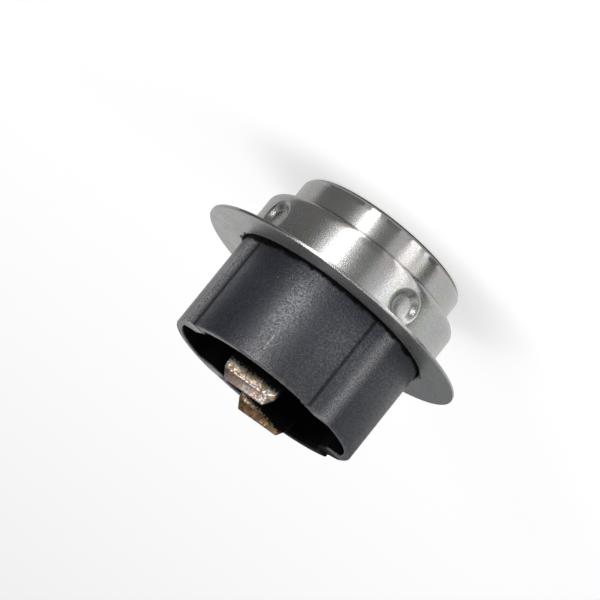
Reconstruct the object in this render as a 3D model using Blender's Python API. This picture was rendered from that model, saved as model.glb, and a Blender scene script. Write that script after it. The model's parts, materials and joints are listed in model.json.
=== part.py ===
"""Snap-disc bimetal thermostat with a flanged steel cap and a two-blade connector shroud.

Frame: metres, +Z up. The origin is the centre of the sensing face, on which the
thermostat stands. The connector's mouth opens upwards, its two round lobes lie
along X, and the two blades stand one behind the other along Y.
The cold, closed state is modelled: the disc bulges down towards the sensing face
and the moving contact rests on the fixed one.
"""

import math

import bmesh
import bpy
from mathutils import Vector
from mathutils.geometry import delaunay_2d_cdt

# Clearances between pieces that touch or nearly touch
SEAT_GAP = 0.00015
ROUND_GAP = 0.00025
SLOT_GAP = 0.00015
RIM_STEP = 0.0001

# Blades and their bent feet
BLADE_WIDTH = 0.0063
BLADE_THICKNESS = 0.0008
BLADE_SPACING = 0.00934
BLADE_STAND = 0.0021
BLADE_TIP_CHAMFER = 0.0007
BLADE_TIP_SLOPE = 0.0011
BLADE_BEVEL_HEIGHT = 0.0009
BLADE_BEVEL_DEPTH = 0.00025
BLADE_HOLE_RADIUS = 0.0009
BLADE_HOLE_DROP = 0.0041
FOOT_LENGTH = 0.00335
FOOT_WIDTH = 0.0042
FOOT_CORNER = 0.0009
FOOT_BEND = 0.0004
FOOT_SHOULDER = 0.0012

# Radial build of the switch chamber, from the feet out to the sheet of the cap
FOOT_TO_WALL = 0.00048
BASE_LEDGE = 0.0004
BASE_FIT = 0.0003
CUP_FIT = 0.00025
SKIRT_WALL = 0.00155

# Cap, one deep-drawn piece of sheet
SHEET = 0.00035
CUP_HEIGHT = 0.00345
CUP_CORNER = 0.0011
DRUM_HEIGHT = 0.0057
DRUM_CORNER = 0.00105
NECK_BEND = 0.00025
FLANGE_WIDTH = 0.00395
FLANGE_EDGE = 0.00008
DIMPLE_COUNT = 4
DIMPLE_FIRST_ANGLE = 41.5
DIMPLE_RADIUS = 0.0017
DIMPLE_TIP_RADIUS = 0.00065
DIMPLE_DEPTH = 0.00075
POCKET_GAP = 0.0002

# Disc, its ring and the pin that it pushes
DISC_THICKNESS = 0.00025
DISC_DOME = 0.00035
RING_SEAT_WIDTH = 0.001
RING_SEAT_THICKNESS = 0.0005
RING_WALL = 0.00055
RING_WALL_RISE = 0.0003
RING_CHAMFER = 0.0007
PIN_RADIUS = 0.0009
PIN_FREE_PLAY = 0.0002
PIN_BORE_GAP = 0.00025
SNAP_ROOM = 0.0006

# Guide, film and switch base
GUIDE_WEB = 0.001
GUIDE_HEIGHT = 0.00245
GUIDE_WALL = 0.0009
GUIDE_BOSS_WALL = 0.0009
GUIDE_FOOT = 0.0007
FILM_THICKNESS = 0.00012
FILM_MARGIN = 0.0001
BASE_THICKNESS = 0.00138
BASE_CHAMFER = 0.0002
BASE_BORE_DEPTH = 0.00078

# Arm, strip, contacts and rivets
ARM_THICKNESS = 0.0002
ARM_TAIL_HALF = 0.002
ARM_TIP_RADIUS = 0.00125
ARM_SWING_GAP = 0.0002
ARM_TAIL_GAP = 0.00025
STRIP_THICKNESS = 0.0004
STRIP_TAIL_HALF = 0.002
STRIP_TIP_RADIUS = 0.0013
CONTACT_RADIUS = 0.00115
CONTACT_HEIGHT = 0.0005
CONTACT_CROWN = 0.0001
CONTACT_SHANK_RADIUS = 0.00055
CONTACT_BUTTON_RADIUS = 0.0009
CONTACT_BUTTON_HEIGHT = 0.0002
CONTACT_TO_BLADE = 0.00037
TOUCH_GAP = 0.0001
RIVET_RADIUS = 0.00075
RIVET_HEAD_RADIUS = 0.00125
RIVET_HEAD_HEIGHT = 0.0006
RIVET_FOOT_HEIGHT = 0.0005
WASHER_RADIUS = 0.0014
WASHER_THICKNESS = 0.0003

# Connector housing
ROOF_GAP = 0.0006
FLOOR_THICKNESS = 0.0016
RESIN_THICKNESS = 0.0006
SEAL_INSET = 0.0002
SEAL_WIDTH = 0.0007
SEAL_THICKNESS = 0.0003
SEAL_FIT = 0.00008
SKIRT_CHAMFER = 0.00025
PLUG_DROP = 0.00065
PLUG_LEDGE = 0.00025
SHROUD_HEIGHT = 0.01115
PANEL_RECESS = 0.00045
PANEL_WALL = 0.001
LOBE_WALL = 0.0008
PAD_RISE = 0.0006
SHROUD_EDGE = 0.00012
LIP_RISE = 0.00033

# Directions round the shroud, in degrees from the lobes' middle
RAMP_START = 39.5
RAMP_SPAN = 6.5
POCKET_END = 27.0
PAD_BLEND = 7.5
PAD_SPAN = 13.5
PAD_STEP = 2.5

# Raised lip on the far panel, in degrees from +X
LIP_START = 76.0
LIP_END = 131.0
LIP_RAMP = 1.0

# Facets
ROUND_STEPS = 60
DISC_STEPS = 40
SMALL_STEPS = 20
SHROUD_STEP = 5.0
CORNER_STEPS = 4
SHARP_ANGLE = math.radians(35)

# Radii that follow from the sizes above
BLADE_OFFSET = BLADE_SPACING / 2
BLADE_INNER = BLADE_OFFSET - BLADE_THICKNESS / 2
BLADE_OUTER = BLADE_OFFSET + BLADE_THICKNESS / 2
FOOT_END = BLADE_OUTER + FOOT_LENGTH
CHAMBER_RADIUS = FOOT_END + FOOT_TO_WALL
BASE_RADIUS = CHAMBER_RADIUS + BASE_LEDGE
SKIRT_INNER = BASE_RADIUS + BASE_FIT
CUP_INNER = BASE_RADIUS + CUP_FIT
CUP_RADIUS = CUP_INNER + SHEET
DISC_RADIUS = BASE_RADIUS - RING_WALL - SEAT_GAP
LOBE_RADIUS = SKIRT_INNER + SKIRT_WALL
DRUM_INNER = LOBE_RADIUS + SLOT_GAP
DRUM_RADIUS = DRUM_INNER + SHEET
FLANGE_RADIUS = DRUM_RADIUS + FLANGE_WIDTH
PANEL_RADIUS = LOBE_RADIUS - PANEL_RECESS
PANEL_INNER = PANEL_RADIUS - PANEL_WALL
PAD_INNER = PANEL_INNER - PAD_RISE
LOBE_INNER = LOBE_RADIUS - LOBE_WALL

# Heights above the sensing face, stacked from the cup's floor upwards
RING_BOTTOM = SHEET + SEAT_GAP
RING_SEAT = RING_BOTTOM + RING_SEAT_THICKNESS
DISC_BOTTOM = RING_SEAT + SEAT_GAP
DISC_TOP = DISC_BOTTOM + DISC_THICKNESS
RING_TOP = DISC_TOP + RING_WALL_RISE
GUIDE_BOTTOM = RING_TOP + SEAT_GAP
GUIDE_TOP = GUIDE_BOTTOM + GUIDE_HEIGHT
FILM_BOTTOM = GUIDE_TOP + SEAT_GAP
FILM_TOP = FILM_BOTTOM + FILM_THICKNESS
BASE_BOTTOM = FILM_TOP + SEAT_GAP
BASE_TOP = BASE_BOTTOM + BASE_THICKNESS
STRIP_BOTTOM = BASE_TOP + SEAT_GAP
STRIP_TOP = STRIP_BOTTOM + STRIP_THICKNESS
FIXED_BOTTOM = STRIP_TOP + TOUCH_GAP
FIXED_TOP = FIXED_BOTTOM + CONTACT_HEIGHT
MOVING_BOTTOM = FIXED_TOP + TOUCH_GAP
MOVING_TOP = MOVING_BOTTOM + CONTACT_HEIGHT
ARM_BOTTOM = MOVING_TOP + SEAT_GAP
ARM_TOP = ARM_BOTTOM + ARM_THICKNESS
ARM_MIDDLE = (ARM_BOTTOM + ARM_TOP) / 2
PEDESTAL_TOP = ARM_BOTTOM - ARM_SWING_GAP
ARM_FOOT_BOTTOM = ARM_TOP + ARM_TAIL_GAP
STRIP_FOOT_BOTTOM = STRIP_TOP + SEAT_GAP
ARM_WASHER_BOTTOM = ARM_FOOT_BOTTOM + BLADE_THICKNESS + SEAT_GAP
STRIP_WASHER_BOTTOM = STRIP_FOOT_BOTTOM + BLADE_THICKNESS + SEAT_GAP
ARM_HEAD_BOTTOM = ARM_WASHER_BOTTOM + WASHER_THICKNESS + SEAT_GAP
STRIP_HEAD_BOTTOM = STRIP_WASHER_BOTTOM + WASHER_THICKNESS + SEAT_GAP
ROOF = ARM_HEAD_BOTTOM + RIVET_HEAD_HEIGHT + ROOF_GAP
MOUTH_FLOOR = ROOF + FLOOR_THICKNESS
SHOULDER_INNER = CUP_HEIGHT + SHEET
SEAL_BOTTOM = SHOULDER_INNER + SEAL_FIT
SKIRT_BOTTOM = SEAL_BOTTOM + SEAL_THICKNESS + RIM_STEP
FLANGE_FACE = CUP_HEIGHT + DRUM_HEIGHT
FLANGE_UNDER = FLANGE_FACE - SHEET
PLUG_TOP = FLANGE_FACE - PLUG_DROP
SHROUD_TOP = FLANGE_FACE + SHROUD_HEIGHT
BLADE_TIP = SHROUD_TOP + BLADE_STAND
DIMPLE_HEIGHT = (CUP_HEIGHT + DRUM_CORNER + FLANGE_UNDER - NECK_BEND) / 2

# Places along Y
RIVET_OFFSET = (BLADE_OUTER + FOOT_END) / 2
CONTACT_Y = CONTACT_TO_BLADE + CONTACT_RADIUS - BLADE_INNER
HOLE_RADIUS = RIVET_RADIUS + SEAT_GAP
CONTACT_HOLE_RADIUS = CONTACT_SHANK_RADIUS + SEAT_GAP
PIN_HOLE_RADIUS = PIN_RADIUS + PIN_BORE_GAP
PIN_BOTTOM = DISC_TOP - DISC_DOME + PIN_FREE_PLAY
PIN_TOP = ARM_BOTTOM - TOUCH_GAP


def clear_scene():
    """Remove whatever objects the scene starts with."""
    for old in list(bpy.data.objects):
        bpy.data.objects.remove(old, do_unlink=True)


def finish(name, color, roughness, metallic):
    """A Principled material with the piece's own colour."""
    made = bpy.data.materials.new(name)
    made.use_nodes = True
    shader = made.node_tree.nodes["Principled BSDF"]
    shader.inputs["Base Color"].default_value = (*color, 1.0)
    shader.inputs["Roughness"].default_value = roughness
    shader.inputs["Metallic"].default_value = metallic
    return made


def arc(center_r, center_z, radius, start, end, steps=CORNER_STEPS):
    """Points of an arc in the (radius, height) plane, angles in degrees."""
    points = []
    for step in range(steps + 1):
        angle = math.radians(start + (end - start) * step / steps)
        points.append((center_r + radius * math.cos(angle), center_z + radius * math.sin(angle)))
    return points


def circle(center_x, center_y, radius, steps=SMALL_STEPS):
    """Points of a full circle in the XY plane."""
    points = []
    for step in range(steps):
        angle = math.tau * step / steps
        points.append((center_x + radius * math.cos(angle), center_y + radius * math.sin(angle)))
    return points


def place(name, mesh_data, material, origin=(0.0, 0.0, 0.0)):
    """Close a bmesh into an object whose origin lies at the given point."""
    bmesh.ops.translate(mesh_data, vec=-Vector(origin), verts=mesh_data.verts)
    bmesh.ops.recalc_face_normals(mesh_data, faces=mesh_data.faces)
    mesh = bpy.data.meshes.new(name)
    mesh_data.to_mesh(mesh)
    mesh_data.free()
    mesh.shade_smooth()
    mesh.set_sharp_from_angle(angle=SHARP_ANGLE)
    if material is not None:
        mesh.materials.append(material)
    piece = bpy.data.objects.new(name, mesh)
    piece.location = origin
    bpy.context.scene.collection.objects.link(piece)
    return piece


def ring_of(mesh_data, radius, height, steps, center=(0.0, 0.0)):
    """One turned point of a profile: a ring of vertices, or one vertex on the axis."""
    if radius <= 0:
        return [mesh_data.verts.new((center[0], center[1], height))]
    return [mesh_data.verts.new((x, y, height)) for x, y in circle(center[0], center[1], radius, steps)]


def bridge(mesh_data, first, second):
    """Faces between two rings, or between a ring and a point."""
    if len(first) == 1:
        first, second = second, first
    count = len(first)
    for index in range(count):
        following = (index + 1) % count
        if len(second) == 1:
            mesh_data.faces.new((first[index], first[following], second[0]))
        else:
            mesh_data.faces.new((first[index], first[following], second[following], second[index]))


def turn(mesh_data, profile, steps, closed, center=(0.0, 0.0)):
    """Turn a profile of (radius, height) points about a vertical axis."""
    rings = [ring_of(mesh_data, radius, height, steps, center) for radius, height in profile]
    pairs = list(zip(rings, rings[1:]))
    if closed:
        pairs.append((rings[-1], rings[0]))
    for first, second in pairs:
        bridge(mesh_data, first, second)


def turned(name, profile, material, steps=SMALL_STEPS, closed=False, center=(0.0, 0.0), origin=None):
    """A turned piece. A closed profile is a ring, an open one starts and ends on the axis."""
    mesh_data = bmesh.new()
    turn(mesh_data, profile, steps, closed, center)
    return place(name, mesh_data, material, origin or (0.0, 0.0, 0.0))


def plate(name, outline, holes, low, high, material, origin=(0.0, 0.0, 0.0)):
    """A flat piece between two heights, cut from sheet with its holes."""
    mesh_data = bmesh.new()
    extrude_flat(mesh_data, outline, holes, low, high)
    return place(name, mesh_data, material, origin)


def encloses(loop, x, y):
    """Whether a closed loop of points lies round the given spot."""
    crossings = 0
    for (x0, y0), (x1, y1) in zip(loop, loop[1:] + loop[:1]):
        if (y0 > y) != (y1 > y) and x < x0 + (y - y0) * (x1 - x0) / (y1 - y0):
            crossings += 1
    return crossings % 2 == 1


def triangulate(outline, holes, lines=()):
    """Triangles that fill an outline around its holes, kept along the given lines."""
    points = []
    edges = []
    for loop in [outline, *holes]:
        start = len(points)
        points += [Vector(point) for point in loop]
        edges += [(start + step, start + (step + 1) % len(loop)) for step in range(len(loop))]
    for line in lines:
        start = len(points)
        points += [Vector(point) for point in line]
        edges += [(start + step, start + step + 1) for step in range(len(line) - 1)]
    filled = delaunay_2d_cdt(points, edges, [], 0, 1e-9)
    kept = []
    for face in filled[2]:
        middle = sum((filled[0][index] for index in face), Vector((0.0, 0.0))) / len(face)
        if encloses(outline, *middle) and not any(encloses(hole, *middle) for hole in holes):
            kept.append(face)
    return filled[0], kept


def extrude_flat(mesh_data, outline, holes, low, high):
    """Fill an outline, extrude it between two heights and close its sides."""
    points, faces = triangulate(outline, holes)
    lower = [mesh_data.verts.new((point.x, point.y, low)) for point in points]
    upper = [mesh_data.verts.new((point.x, point.y, high)) for point in points]
    close_sheet(mesh_data, faces, lower, upper)


def close_sheet(mesh_data, faces, lower, upper):
    """Two skins with the same triangles, joined along every free edge."""
    counts = {}
    for face in faces:
        mesh_data.faces.new([upper[index] for index in face])
        mesh_data.faces.new([lower[index] for index in reversed(face)])
        for start, end in zip(face, list(face[1:]) + [face[0]]):
            counts[frozenset((start, end))] = counts.get(frozenset((start, end)), []) + [(start, end)]
    for uses in counts.values():
        if len(uses) == 1:
            start, end = uses[0]
            mesh_data.faces.new((lower[start], lower[end], upper[end], upper[start]))


def cut_or_join(piece, tool, operation):
    """Put a hidden tool body into a piece's Boolean modifier."""
    tool.hide_render = True
    tool.display_type = "WIRE"
    step = piece.modifiers.new(tool.name, "BOOLEAN")
    step.operation = operation
    step.solver = "EXACT"
    step.object = tool


def rounded_end(half_width, end_y, radius, direction, steps=CORNER_STEPS):
    """The two rounded corners that close a strip lying along Y."""
    points = []
    for side, start in ((1, 0.0), (-1, 90.0)):
        for step in range(steps + 1):
            angle = math.radians(start + 90.0 * step / steps)
            x = side * (half_width - radius) + radius * math.cos(angle)
            y = end_y + direction * (radius * math.sin(angle) - radius)
            points.append((x, y))
    return points


def cap_profile():
    """Outer skin of the cap from the sensing face to the flange, then the inner skin back."""
    inner_bend = NECK_BEND + SHEET
    corner_z = CUP_HEIGHT + DRUM_CORNER
    corner_r = DRUM_RADIUS - DRUM_CORNER
    edge = FLANGE_EDGE
    outer = [(0.0, 0.0)]
    outer += arc(CUP_RADIUS - CUP_CORNER, CUP_CORNER, CUP_CORNER, -90, 0)
    outer += arc(CUP_RADIUS + NECK_BEND, CUP_HEIGHT - NECK_BEND, NECK_BEND, 180, 90, 2)
    outer += arc(corner_r, corner_z, DRUM_CORNER, -90, 0)
    outer += arc(DRUM_RADIUS + NECK_BEND, FLANGE_UNDER - NECK_BEND, NECK_BEND, 180, 90, 2)
    outer += [(FLANGE_RADIUS - edge, FLANGE_UNDER), (FLANGE_RADIUS, FLANGE_UNDER + edge)]
    outer += [(FLANGE_RADIUS, FLANGE_FACE - edge), (FLANGE_RADIUS - edge, FLANGE_FACE)]
    inner = arc(DRUM_RADIUS + NECK_BEND, FLANGE_UNDER - NECK_BEND, inner_bend, 90, 180, 3)
    inner += arc(corner_r, corner_z, DRUM_CORNER - SHEET, 0, -90, 3)
    inner += arc(CUP_RADIUS + NECK_BEND, CUP_HEIGHT - NECK_BEND, inner_bend, 90, 180, 3)
    inner += arc(CUP_RADIUS - CUP_CORNER, CUP_CORNER, CUP_CORNER - SHEET, 0, -90, 3)
    inner += [(0.0, SHEET)]
    return outer + inner


def radial_cones(name, near_distance, near_radius, far_distance, far_radius):
    """One cone for each dimple, lying along the cap's radius at the dimple's height."""
    mesh_data = bmesh.new()
    for index in range(DIMPLE_COUNT):
        angle = math.radians(DIMPLE_FIRST_ANGLE + 360.0 * index / DIMPLE_COUNT)
        outward = Vector((math.cos(angle), math.sin(angle), 0.0))
        sideways = Vector((-math.sin(angle), math.cos(angle), 0.0))
        level = Vector((0.0, 0.0, DIMPLE_HEIGHT))
        rings = []
        for distance, radius in ((near_distance, near_radius), (far_distance, far_radius)):
            ring = []
            for across, up in circle(0.0, 0.0, radius):
                spot = outward * distance + sideways * across + level
                ring.append(mesh_data.verts.new(spot + Vector((0.0, 0.0, up))))
            rings.append(ring)
        bridge(mesh_data, rings[0], rings[1])
        mesh_data.faces.new(rings[0])
        mesh_data.faces.new(rings[1])
    return place(name, mesh_data, None)


def dimple_radius_at(distance, tip_distance, tip_radius):
    """Radius of the dimple's cone at a distance from the cap's axis."""
    slope = (DIMPLE_RADIUS - DIMPLE_TIP_RADIUS) / DIMPLE_DEPTH
    return tip_radius + (distance - tip_distance) * slope


def dimple_skin():
    """How much wider the dimple is on the inside of the sheet than on the outside."""
    lean = math.atan2(DIMPLE_DEPTH, DIMPLE_RADIUS - DIMPLE_TIP_RADIUS)
    return SHEET * math.tan(lean / 2)


def make_sensing_cap(material):
    """Deep-drawn cap with its four crimp dimples pushed in from outside."""
    cap = turned("sensing_cap", cap_profile(), material, ROUND_STEPS)
    tip_out = DRUM_RADIUS - DIMPLE_DEPTH
    tip_in = tip_out - SHEET
    tip_in_radius = DIMPLE_TIP_RADIUS + dimple_skin()
    root = DRUM_INNER + SHEET / 4
    mouth = DRUM_RADIUS + SHEET
    root_radius = dimple_radius_at(root, tip_in, tip_in_radius)
    mouth_radius = dimple_radius_at(mouth, tip_out, DIMPLE_TIP_RADIUS)
    bumps = radial_cones("dimple_bumps", root, root_radius, tip_in, tip_in_radius)
    dents = radial_cones("dimple_dents", mouth, mouth_radius, tip_out, DIMPLE_TIP_RADIUS)
    cut_or_join(cap, bumps, "UNION")
    cut_or_join(cap, dents, "DIFFERENCE")
    return cap


def make_bimetal_disc(material):
    """Shallow domed disc, cold: its middle lies lower than its rim."""
    rounds = 6
    lower = []
    upper = []
    for step in range(rounds + 1):
        share = step / rounds
        sag = DISC_DOME * (1.0 - share * share)
        lower.append((DISC_RADIUS * share, DISC_BOTTOM - sag))
        upper.append((DISC_RADIUS * share, DISC_TOP - sag))
    return turned("bimetal_disc", lower + upper[::-1], material, DISC_STEPS)


def make_disc_ring(material):
    """Brass ring with a step: the disc's rim sits on it and the guide stands on its wall."""
    wall_inner = DISC_RADIUS + SEAT_GAP
    wall_outer = BASE_RADIUS
    profile = [
        (DISC_RADIUS - RING_SEAT_WIDTH, RING_BOTTOM),
        (wall_outer - RING_CHAMFER, RING_BOTTOM),
        (wall_outer, RING_BOTTOM + RING_CHAMFER),
        (wall_outer, RING_TOP),
        (wall_inner, RING_TOP),
        (wall_inner, RING_SEAT),
        (DISC_RADIUS - RING_SEAT_WIDTH, RING_SEAT),
    ]
    return turned("disc_ring", profile, material, DISC_STEPS, closed=True)


def make_pin_guide(material):
    """Moulded plate with a rim, a bored boss, and a foot that keeps the disc's rim down."""
    foot_inner = DISC_RADIUS - GUIDE_FOOT
    web_bottom = DISC_TOP + DISC_DOME + SNAP_ROOM
    web_top = web_bottom + GUIDE_WEB
    foot_bottom = DISC_TOP + SEAT_GAP
    profile = [
        (PIN_HOLE_RADIUS, web_bottom),
        (foot_inner, web_bottom),
        (foot_inner, foot_bottom),
        (DISC_RADIUS, foot_bottom),
        (DISC_RADIUS, GUIDE_BOTTOM),
        (BASE_RADIUS, GUIDE_BOTTOM),
        (BASE_RADIUS, GUIDE_TOP),
        (BASE_RADIUS - GUIDE_WALL, GUIDE_TOP),
        (BASE_RADIUS - GUIDE_WALL, web_top),
        (PIN_HOLE_RADIUS + GUIDE_BOSS_WALL, web_top),
        (PIN_HOLE_RADIUS + GUIDE_BOSS_WALL, GUIDE_TOP),
        (PIN_HOLE_RADIUS, GUIDE_TOP),
    ]
    return turned("pin_guide", profile, material, DISC_STEPS, closed=True)


def make_transfer_pin(material):
    """Ceramic rod with rounded ends. Its origin lies on its axis at its lower end."""
    crown = PIN_RADIUS / 4
    profile = [
        (0.0, PIN_BOTTOM),
        (PIN_RADIUS - crown, PIN_BOTTOM),
        (PIN_RADIUS, PIN_BOTTOM + crown),
        (PIN_RADIUS, PIN_TOP - crown),
        (PIN_RADIUS - crown, PIN_TOP),
        (0.0, PIN_TOP),
    ]
    return turned("transfer_pin", profile, material, origin=(0.0, 0.0, PIN_BOTTOM))


def flat_ring(name, inner, outer, low, high, material, steps, center=(0.0, 0.0)):
    """A washer, film or gasket of rectangular section."""
    profile = [(inner, low), (outer, low), (outer, high), (inner, high)]
    return turned(name, profile, material, steps, closed=True, center=center)


def make_switch_base(material):
    """Moulded disc with a pedestal for the arm, a pin hole and two stepped rivet holes."""
    profile = [
        (0.0, BASE_BOTTOM),
        (BASE_RADIUS - BASE_CHAMFER, BASE_BOTTOM),
        (BASE_RADIUS, BASE_BOTTOM + BASE_CHAMFER),
        (BASE_RADIUS, BASE_TOP),
        (0.0, BASE_TOP),
    ]
    base = turned("switch_base", profile, material, DISC_STEPS)
    start = RIVET_OFFSET - WASHER_RADIUS
    end = RIVET_OFFSET + WASHER_RADIUS
    half = ARM_TAIL_HALF
    block = [(-half, start), (half, start), (half, end), (-half, end)]
    pedestal = plate("arm_pedestal", block, [], BASE_TOP - BASE_THICKNESS / 2, PEDESTAL_TOP, None)
    cut_or_join(base, pedestal, "UNION")
    mesh_data = bmesh.new()
    above = PEDESTAL_TOP + SHEET
    below = BASE_BOTTOM - SHEET
    bore_top = BASE_BOTTOM + BASE_BORE_DEPTH
    bore_radius = RIVET_HEAD_RADIUS + ROUND_GAP
    stepped = [(0.0, below), (bore_radius, below), (bore_radius, bore_top)]
    stepped += [(HOLE_RADIUS, bore_top), (HOLE_RADIUS, above), (0.0, above)]
    for side in (1, -1):
        turn(mesh_data, stepped, SMALL_STEPS, False, (0.0, side * RIVET_OFFSET))
    straight = [(0.0, below), (PIN_HOLE_RADIUS, below), (PIN_HOLE_RADIUS, above), (0.0, above)]
    turn(mesh_data, straight, SMALL_STEPS, False)
    cut_or_join(base, place("base_holes", mesh_data, None), "DIFFERENCE")
    return base


def strip_outline(tail_half, tail_end, side, tip_radius):
    """A sheet-metal strip that runs from a rivet to a rounded tip round the contact."""
    tail = rounded_end(tail_half, side * tail_end, tail_half / 2, side)
    shoulder = side * (RIVET_OFFSET - WASHER_RADIUS)
    toward = 1.0 if side < 0 else -1.0
    tip = []
    for step in range(2 * CORNER_STEPS + 1):
        angle = math.radians(180.0 * step / (2 * CORNER_STEPS))
        tip.append((-tip_radius * math.cos(angle), CONTACT_Y + toward * tip_radius * math.sin(angle)))
    return [(-tail_half, shoulder)] + tip + [(tail_half, shoulder)] + tail


def make_moving_arm(material):
    """Leaf spring. Its origin lies on the line about which it swings, across its rivet."""
    outline = strip_outline(ARM_TAIL_HALF, FOOT_END - SEAT_GAP, 1, ARM_TIP_RADIUS)
    holes = [circle(0.0, RIVET_OFFSET, HOLE_RADIUS), circle(0.0, CONTACT_Y, CONTACT_HOLE_RADIUS)]
    hinge = (0.0, RIVET_OFFSET, ARM_MIDDLE)
    return plate("moving_arm", outline, holes, ARM_BOTTOM, ARM_TOP, material, hinge)


def make_contact_strip(material):
    """Stiff brass strip on the base, from the rivet to the fixed contact."""
    outline = strip_outline(STRIP_TAIL_HALF, FOOT_END - SEAT_GAP, -1, STRIP_TIP_RADIUS)
    holes = [circle(0.0, -RIVET_OFFSET, HOLE_RADIUS), circle(0.0, CONTACT_Y, CONTACT_HOLE_RADIUS)]
    return plate("contact_strip", outline, holes, STRIP_BOTTOM, STRIP_TOP, material)


def make_moving_contact(material, arm):
    """Silver rivet in the arm's tip: crowned face below, upset button above."""
    button = ARM_TOP + SEAT_GAP
    profile = [
        (0.0, MOVING_BOTTOM),
        (CONTACT_RADIUS * 0.6, MOVING_BOTTOM + CONTACT_CROWN / 4),
        (CONTACT_RADIUS, MOVING_BOTTOM + CONTACT_CROWN),
        (CONTACT_RADIUS, MOVING_TOP),
        (CONTACT_SHANK_RADIUS, MOVING_TOP),
        (CONTACT_SHANK_RADIUS, button),
        (CONTACT_BUTTON_RADIUS, button),
        (CONTACT_BUTTON_RADIUS, button + CONTACT_BUTTON_HEIGHT),
        (0.0, button + CONTACT_BUTTON_HEIGHT),
    ]
    hinge = (0.0, RIVET_OFFSET, ARM_MIDDLE)
    contact = turned("moving_contact", profile, material, center=(0.0, CONTACT_Y), origin=hinge)
    contact.parent = arm
    contact.location = (0.0, 0.0, 0.0)
    return contact


def make_fixed_contact(material):
    """Silver rivet in the strip's tip, crowned face up, shank flush with the strip's underside."""
    profile = [
        (0.0, STRIP_BOTTOM),
        (CONTACT_SHANK_RADIUS, STRIP_BOTTOM),
        (CONTACT_SHANK_RADIUS, FIXED_BOTTOM),
        (CONTACT_RADIUS, FIXED_BOTTOM),
        (CONTACT_RADIUS, FIXED_TOP - CONTACT_CROWN),
        (CONTACT_RADIUS * 0.6, FIXED_TOP - CONTACT_CROWN / 4),
        (0.0, FIXED_TOP),
    ]
    return turned("fixed_contact", profile, material, center=(0.0, CONTACT_Y))


def make_rivet(name, side, head_bottom, material):
    """Rivet with a flat foot in the base's counterbore and a domed head over its washer."""
    foot_top = BASE_BOTTOM + BASE_BORE_DEPTH - SEAT_GAP
    crown = RIVET_HEAD_HEIGHT / 3
    profile = [
        (0.0, foot_top - RIVET_FOOT_HEIGHT),
        (RIVET_HEAD_RADIUS, foot_top - RIVET_FOOT_HEIGHT),
        (RIVET_HEAD_RADIUS, foot_top),
        (RIVET_RADIUS, foot_top),
        (RIVET_RADIUS, head_bottom),
        (RIVET_HEAD_RADIUS, head_bottom),
        (RIVET_HEAD_RADIUS, head_bottom + RIVET_HEAD_HEIGHT - crown),
        (RIVET_HEAD_RADIUS - crown, head_bottom + RIVET_HEAD_HEIGHT),
        (0.0, head_bottom + RIVET_HEAD_HEIGHT),
    ]
    return turned(name, profile, material, center=(0.0, side * RIVET_OFFSET))


def blade_blank(foot_bottom):
    """Flat blank of a terminal as (across, along) points: tip first, foot last.

    Along is measured down the blade from its tip. Returns the outline, the holes, the lines
    that must stay edges, and the lengths at which the blank bends.
    """
    half = BLADE_WIDTH / 2
    foot_half = FOOT_WIDTH / 2
    middle_bend = FOOT_BEND + BLADE_THICKNESS / 2
    drop = BLADE_TIP - foot_bottom - BLADE_THICKNESS / 2
    bend_start = drop - middle_bend
    bend_end = bend_start + middle_bend * math.pi / 2
    reach = FOOT_END - BLADE_OFFSET
    foot_end = bend_end + reach - middle_bend
    tip_half = half - BLADE_TIP_CHAMFER
    waist = bend_start - FOOT_SHOULDER
    right = [(tip_half, 0.0), (half, BLADE_TIP_SLOPE), (half, waist), (foot_half, waist + FOOT_SHOULDER / 2)]
    right += [(foot_half, bend_start), (foot_half, bend_end), (foot_half, foot_end - FOOT_CORNER)]
    right += [(foot_half - FOOT_CORNER, foot_end)]
    left = [(-x, s) for x, s in reversed(right)]
    hole = circle(0.0, BLADE_HOLE_DROP, BLADE_HOLE_RADIUS)
    rivet = circle(0.0, bend_end + RIVET_OFFSET - BLADE_OFFSET - middle_bend, HOLE_RADIUS)
    bevel = [(-half, BLADE_TIP_SLOPE + BLADE_BEVEL_HEIGHT / 2)]
    bevel += [(-tip_half + BLADE_TIP_CHAMFER / 4, BLADE_BEVEL_HEIGHT)]
    bevel += [(tip_half - BLADE_TIP_CHAMFER / 4, BLADE_BEVEL_HEIGHT)]
    bevel += [(half, BLADE_TIP_SLOPE + BLADE_BEVEL_HEIGHT / 2)]
    lines = [bevel]
    for step in range(CORNER_STEPS + 1):
        along = bend_start + (bend_end - bend_start) * step / CORNER_STEPS
        lines.append([(-foot_half, along), (foot_half, along)])
    return right + left, [hole, rivet], lines, (bend_start, bend_end, middle_bend)


def on_tip_edge(across, along):
    """Whether a point of the blank lies on the thinned edge round the blade's tip."""
    on_end = along < BLADE_BEVEL_HEIGHT / 4
    on_corner = abs(across) > BLADE_WIDTH / 2 - BLADE_TIP_CHAMFER
    return on_end or (on_corner and along < BLADE_TIP_SLOPE + BLADE_BEVEL_HEIGHT / 4)


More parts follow.
